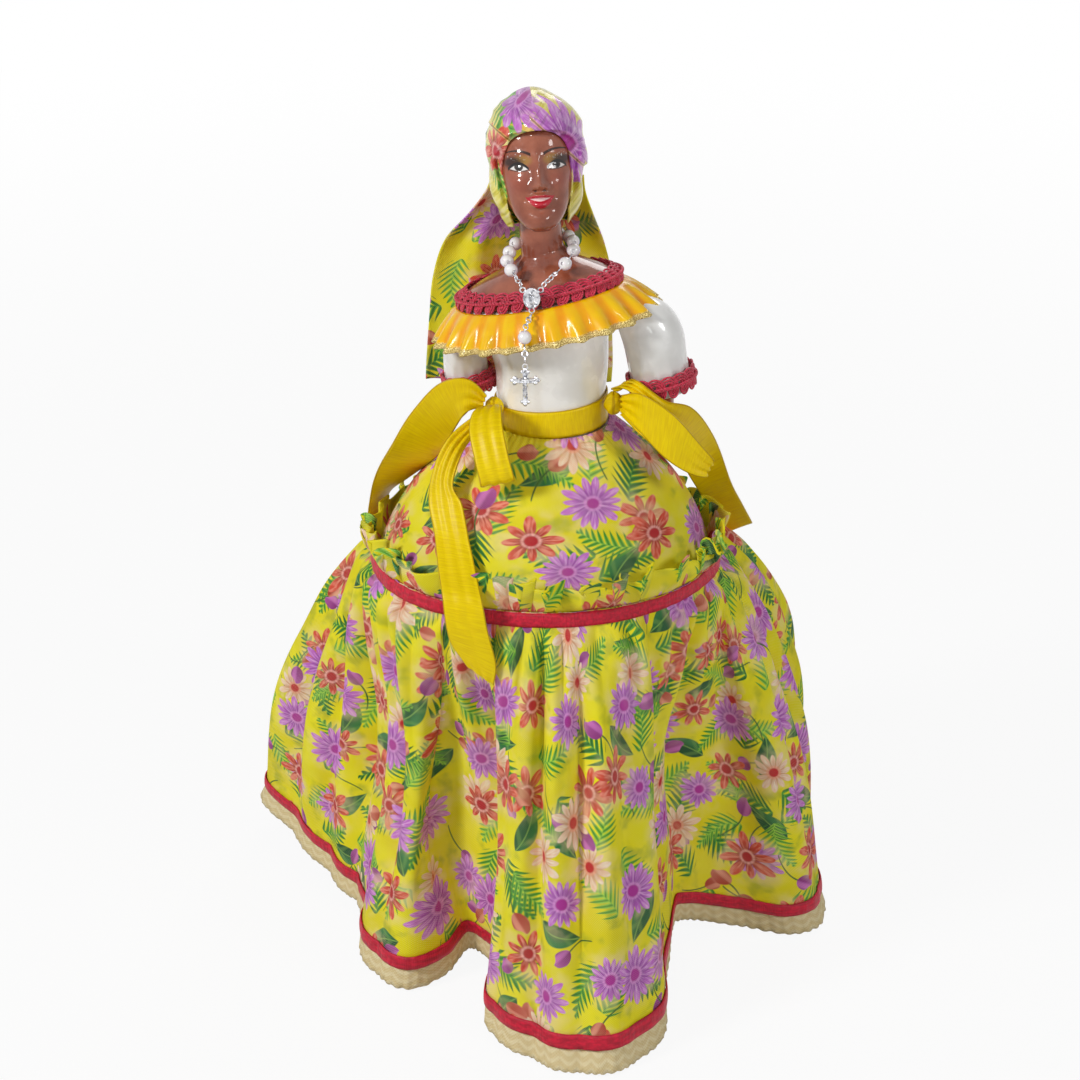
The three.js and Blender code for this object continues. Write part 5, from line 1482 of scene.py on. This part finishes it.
def pearlPaint():
    paint = Paint("pearl", Roughness=0.22, Coat_Weight=0.6, Coat_Roughness=0.08)
    edge = paint.add("LayerWeight", None, {"Blend": 0.45}, 1)
    # Lilac grey towards the rim, by facing, is painted shade with a painted lustre
    tone = paint.blend("#F7F5F4", "#CFC4E4", edge.between(0.25, 0.95))
    blush = paint.noise(paint.bodyPlace(), 0.4, 1).between(0.5, 0.7) * 0.4
    paint.set("Base Color", paint.blend(tone, "#F5DCE6", blush))
    return paint


def silverPaint():
    paint = Paint("silver", Metallic=1.0, Roughness=0.25)
    blotches = paint.noise(paint.bodyPlace(), 0.8, 3)
    paint.set("Base Color", paint.blend("#8F9096", "#E3E4E8", blotches.between(0.3, 0.6)))
    paint.set("Roughness", 0.16 + blotches * 0.25)
    paint.set("Normal", paint.bump(blotches, 0.25, 0.0002))
    return paint


pearl, silver = pearlPaint(), silverPaint()


def pickFaces(piece, wanted):
    bpy.ops.object.mode_set(mode="EDIT")
    bpy.ops.mesh.select_mode(type="FACE")
    bpy.ops.mesh.select_all(action="DESELECT")
    bpy.ops.object.mode_set(mode="OBJECT")
    for face in piece.data.polygons:
        face.select = bool(wanted(face.center / mm, face.normal))
    bpy.ops.object.mode_set(mode="EDIT")


def settle(piece):
    bpy.ops.object.mode_set(mode="OBJECT")
    bpy.ops.object.shade_smooth_by_angle(angle=math.radians(40))
    return piece


def copied(piece, name, matrix):
    twin = added(name, piece.data.copy())
    place = matrix.copy()
    place.translation = place.translation * mm
    twin.data.transform(place)
    return twin


def placed(middle, along, across):  # x runs along, y across
    x = Vector(along).normalized()
    y = (Vector(across) - x * Vector(across).dot(x)).normalized()
    matrix = Matrix((x, y, x.cross(y))).transposed().to_4x4()
    matrix.translation = Vector(middle)
    return matrix


def makeBead():
    piece = begin(bpy.ops.mesh.primitive_uv_sphere_add, segments=28, ring_count=20,
                  radius=rosary["bead"] * mm)
    for end in (1, -1):
        pickFaces(piece, lambda c, n, end=end: c.z * end > 0 and math.hypot(c.x, c.y) < rosary["bore"])
        bpy.ops.mesh.inset(thickness=rosary["boreEdge"] * mm)
        inward = (0, 0, -rosary["boreDepth"] * mm * end)
        bpy.ops.mesh.extrude_region_move(TRANSFORM_OT_translate={"value": inward})
    return settle(piece)


def makeLink():
    half, width, wire = rosary["link"]
    piece = begin(bpy.ops.mesh.primitive_torus_add, major_segments=20, minor_segments=8,
                  major_radius=width * mm, minor_radius=wire * mm)
    for end in (1, -1):
        pickFaces(piece, lambda c, n, end=end: c.x * end > 0)
        bpy.ops.transform.translate(value=((half - wire / 2 - width) * mm * end, 0, 0))
    return settle(piece)


def chainLinks(start, end, firstAcross, name):
    half, overlap = rosary["link"][0], rosary["linkOverlap"]
    line = Vector(end) - Vector(start)
    along, length = line.normalized(), line.length
    count = max(1, round((length - 2 * half) / (2 * half - overlap)) + 1)
    gap = (length - 2 * half) / (count - 1) if count > 1 else 0
    side = (Vector(firstAcross) - along * Vector(firstAcross).dot(along)).normalized()
    other = along.cross(side)
    links = []
    for i in range(count):
        spot = placed(Vector(start) + along * (half + i * gap), along, other if i % 2 else side)
        links.append(copied(linkPattern, f"{name}{i}", spot))
    return links


beadPattern, linkPattern = makeBead(), makeLink()
earSide, earRise = rosary["earAt"]
ears = [Vector(rosary["medal"]) + Vector((side * earSide, 0, earRise)) for side in (-1, 1)]


# Where a chain starts, clear of the ring that it hangs in
def clearOf(wirePlace, nextPlace):
    way = (Vector(nextPlace) - wirePlace).normalized()
    return wirePlace + way * rosary["linkStart"]


earTops = [ear + Vector((0, 0, rosary["ear"])) for ear in ears]
strandPoints = [tuple(clearOf(earTops[0], rosary["neck"][0])), *rosary["neck"],
                tuple(clearOf(earTops[1], rosary["neck"][-1]))]
strandCurve = curveThrough(strandPoints)
last = len(strandPoints) - 1
for i in range(1, last):
    ahead = strandCurve((i + 0.02) / last) - strandCurve((i - 0.02) / last)
    spot = placed(strandCurve(i / last), (0.31, 0.2, 0.9), ahead)
    spot = placed(strandCurve(i / last), spot.col[0].xyz.cross(Vector(unit(ahead))), spot.col[0].xyz)
    dress(copied(beadPattern, f"rosary_pearl_{i}", spot), pearl, f"rosary_bead_{i}")

wirePoints = strandCurve(np.linspace(0.5 / last, 1 - 0.5 / last, 90))
strandParts = [meshPiece("strand_wire", [tubeMesh(wirePoints, rosary["wire"], 8, closed=False)])]
strandParts += chainLinks(strandCurve(0.0), strandCurve(0.6 / last), (0, 0, 1), "linkLeft")
strandParts += chainLinks(strandCurve(1.0), strandCurve(1 - 0.6 / last), (0, 0, 1), "linkRight")
dress(joined("rosary_wire_links", strandParts), silver, "rosary_strand")


def ringAt(middle, name):
    piece = begin(bpy.ops.mesh.primitive_torus_add, major_segments=24, minor_segments=8,
                  major_radius=rosary["ear"] * mm, minor_radius=rosary["earWire"] * mm)
    pickFaces(piece, lambda c, n: c.y > 0)
    bpy.ops.transform.translate(value=(0, 0.05 * mm, 0))
    settle(piece)
    twin = copied(piece, name, placed(middle, (0, 0, 1), (1, 0, 0)))
    bpy.data.objects.remove(piece)
    return twin


def makeMedal():
    wide, tall = rosary["medalHalf"]
    depth = rosary["medalDepth"]
    plate = begin(bpy.ops.mesh.primitive_cylinder_add, vertices=56, radius=1 * mm, depth=depth * mm,
                  rotation=(math.pi / 2, 0, 0))
    bpy.ops.object.transform_apply(rotation=True)
    pickFaces(plate, lambda c, n: True)
    bpy.ops.transform.resize(value=(wide, 1, tall))
    pickFaces(plate, lambda c, n: n.y < -0.9)  # a raised rim round a sunk face
    bpy.ops.mesh.inset(thickness=0.25 * mm)
    bpy.ops.transform.translate(value=(0, -0.12 * mm, 0))
    bpy.ops.mesh.inset(thickness=0.4 * mm)
    bpy.ops.mesh.inset(thickness=0.15 * mm)
    bpy.ops.transform.translate(value=(0, 0.4 * mm, 0))
    shapes = [settle(plate)]
    # A small robed figure in rays, as such medals carry
    for rise, radius, tallness in ((-0.9, 1.15, 2.1), (1.75, 0.62, 0.72)):
        shape = begin(bpy.ops.mesh.primitive_uv_sphere_add, segments=20, ring_count=14, radius=radius * mm,
                      location=(0, -(depth / 2 - 0.3) * mm, rise * mm))
        bpy.ops.object.transform_apply(location=True)
        pickFaces(shape, lambda c, n: True)
        bpy.ops.transform.resize(value=(1, 0.42 / radius, tallness / radius))
        pickFaces(shape, lambda c, n, rise=rise: c.z < rise)
        bpy.ops.transform.resize(value=(1.25, 1, 1))
        shapes.append(settle(shape))
    for i in range(14):
        turn = i / 14 * fullTurn
        spot = (2.1 * math.sin(turn) * mm, -(depth / 2 - 0.22) * mm, 2.95 * math.cos(turn) * mm)
        ray = begin(bpy.ops.mesh.primitive_cone_add, vertices=6, radius1=0.16 * mm, radius2=0.03 * mm,
                    depth=1.1 * mm, location=spot, rotation=(0, turn, 0))
        bpy.ops.object.transform_apply(location=True, rotation=True)
        pickFaces(ray, lambda c, n: c.y < -0.4)
        bpy.ops.transform.translate(value=(0, -0.03 * mm, 0))
        shapes.append(settle(ray))
    for shape in shapes:
        shape.data.transform(Matrix.Translation(Vector(rosary["medal"]) * mm))
    rings = [ringAt(ear, f"ear{i}") for i, ear in enumerate(ears)]
    foot = Vector(rosary["medal"]) + Vector((0, 0, -tall - rosary["ear"] + 0.1))
    return joined("rosary_centre_medal", shapes + rings + [ringAt(foot, "foot")]), foot


medal, medalFoot = makeMedal()
dress(medal, silver, "rosary_medal", "medal")

dropAt, bail = Vector(rosary["dropBead"]), Vector(rosary["crossBail"])
reach = Vector((0, 0, rosary["bead"] + rosary["wire"] + 0.3))
ringEdge = Vector((0, 0, rosary["ear"]))
pinLine = tubeMesh([dropAt - reach, dropAt, dropAt + reach], rosary["wire"], 10, closed=False)
dropParts = [meshPiece("drop_pin", [pinLine])]
for hung, pinEnd, name in ((medalFoot - ringEdge, dropAt + reach, "dropUpper"),
                           (bail + ringEdge, dropAt - reach, "dropLower")):
    dropParts += chainLinks(clearOf(hung, pinEnd), pinEnd, (0, -1, 0), name)
dress(joined("rosary_drop_links", dropParts), silver, "rosary_drop", "drop")
dropPearl = copied(beadPattern, "rosary_drop_pearl", Matrix.Translation(dropAt))
dress(dropPearl, pearl, "rosary_drop_bead", "drop_bead")


def makeCross():
    half, top, foot = rosary["crossArm"]
    bar, deep = rosary["crossBar"]
    middle = -rosary["ear"] - 0.35 - top
    shapes = []

    def block(width, height, z):
        piece = begin(bpy.ops.mesh.primitive_cube_add, size=1 * mm, location=(0, 0, z * mm))
        bpy.ops.object.transform_apply(location=True)
        pickFaces(piece, lambda c, n: True)
        bpy.ops.transform.resize(value=(width, 2 * deep, height))
        bpy.ops.mesh.bevel(offset=0.28 * mm, segments=3)
        pickFaces(piece, lambda c, n: n.y < -0.99)
        bpy.ops.mesh.inset(thickness=0.3 * mm)
        bpy.ops.transform.translate(value=(0, 0.2 * mm, 0))
        shapes.append(settle(piece))

    def bud(x, z):
        piece = begin(bpy.ops.mesh.primitive_uv_sphere_add, segments=16, ring_count=10, radius=1.0 * mm,
                      location=(x * mm, 0, z * mm))
        bpy.ops.object.transform_apply(location=True)
        pickFaces(piece, lambda c, n: True)
        bpy.ops.transform.resize(value=(1, 0.85, 1))
        shapes.append(settle(piece))

    block(2 * bar, top + foot, middle + (top - foot) / 2)
    block(2 * half, 2 * bar, middle)
    for dx, dz, length in ((1, 0, half), (-1, 0, half), (0, 1, top), (0, -1, foot)):
        bud(dx * length, middle + dz * length)
        for side in (-1.15, 1.15):
            bud(dx * (length - 1.05) + dz * side, middle + dz * (length - 1.05) + dx * side)

    def limb(points, radii):
        along = curveThrough(points)(np.linspace(0, 1, 14))
        thick = curveThrough(radii)(np.linspace(0, 1, 14))[:, 0]
        shapes.append(meshPiece("limb", [tubeMesh(along, thick, 10, closed=False)]))

    front = -deep - 0.35  # a plain small figure on the cross
    limb([(0, front, middle + 0.8), (0, front - 0.2, middle - 1.2), (0.15, front, middle - 3.2),
          (0, front + 0.1, middle - 7.4)], [(0.5,), (0.78,), (0.62,), (0.3,)])
    for side in (1, -1):
        limb([(0.3 * side, front, middle + 0.4), (2.4 * side, front, middle + 0.5),
              (4.4 * side, front + 0.1, middle + 1)], [(0.34,), (0.3,), (0.24,)])
    limb([(0.1, front - 0.1, middle + 0.7), (0.15, front - 0.2, middle + 1.4),
          (0.15, front - 0.15, middle + 2.1)], [(0.3,), (0.62,), (0.36,)])
    shapes.append(ringAt((0, 0, 0), "bail"))
    for shape in shapes:
        shape.data.transform(Matrix.Translation(bail * mm))
    return joined("rosary_budded_cross", shapes)


dress(makeCross(), silver, "rosary_cross", "cross")
for pattern in (beadPattern, linkPattern):
    bpy.data.objects.remove(pattern)
print("rosary strung")

# Stand and padded hip form
padding = {"inset": 1.3, "panels": 8, "groove": 0.8, "bore": 6.3, "socket": 30, "foot": 190.5,
           "columns": 192, "rows": 100}


def foamPaint():
    paint = Paint("foam", Roughness=0.9)
    place = paint.bodyPlace()
    weave = paint.noise(place, 1.4, 2)
    paint.set("Base Color", paint.blend("#DED9CB", "#F4F1E6", weave.between(0.3, 0.7)))
    paint.set("Normal", paint.bump(weave, 0.4, 0.0004))
    return paint


def woodPaint():
    paint = Paint("wood", Roughness=0.45)
    x, y, z = paint.sides(paint.bodyPlace())
    grain = paint.noise(paint.point(x * 0.05, y * 0.6, z * 0.05), 1, 4)
    rings = ((grain * 9).sin() + 1) * 0.5
    tone = paint.blend("#A9794A", "#D2AC78", rings.between(0.1, 0.9))
    paint.set("Base Color", paint.blend(tone, "#7E5530", grain.between(0.6, 0.75) * 0.5))
    paint.set("Roughness", 0.42 + rings * 0.14)
    paint.set("Normal", paint.bump(rings, 0.12, 0.0003))
    return paint


foam, wood = foamPaint(), woodPaint()
for node in ("stand_base", "stand_post"):
    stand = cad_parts[node]
    stand.data.materials.clear()
    stand.data.materials.append(wood.material)


# Eight sewn panels under the upper tier, crowned between their seams, with a socket for the post.
# Down the rows: top, panels, edge below the seam, underside, the socket's wall and its end
def padPlace(u, v):
    angle = u * fullTurn
    fall = np.clip((v - 0.06) / 0.72, 0, 1) + np.clip((v - 0.78) / 0.06, 0, 1)
    seams = np.abs(np.sin(padding["panels"] / 2 * angle)) ** 0.35
    inset = padding["inset"] + padding["groove"] * (1 - seams) * np.minimum(fall * 4, 1)
    outer = tierPoint(angle, fall, -inset)
    top = outer * 0 + (dome["waist"][0], dome["waist"][1], dome["waist"][2] - padding["inset"])
    outer = mix(top, outer, np.minimum(v / 0.06, 1)[..., None])
    inward = np.clip((v - 0.84) / 0.08, 0, 1)[..., None]
    bore = stack(padding["bore"] * np.sin(angle), -padding["bore"] * np.cos(angle), padding["foot"] + 0.4)
    point = mix(outer, bore, inward)
    point[..., 2] += padding["socket"] * np.clip((v - 0.92) / 0.04, 0, 1)
    point[..., :2] *= 1 - np.clip((v - 0.96) / 0.04, 0, 1)[..., None]
    return point


pad = laidGrid("hip_form_pad", padding["columns"], padding["rows"], padPlace, closed=True, capped=True)
dress(pad, foam, "hip_form")
print("stand and pad done")
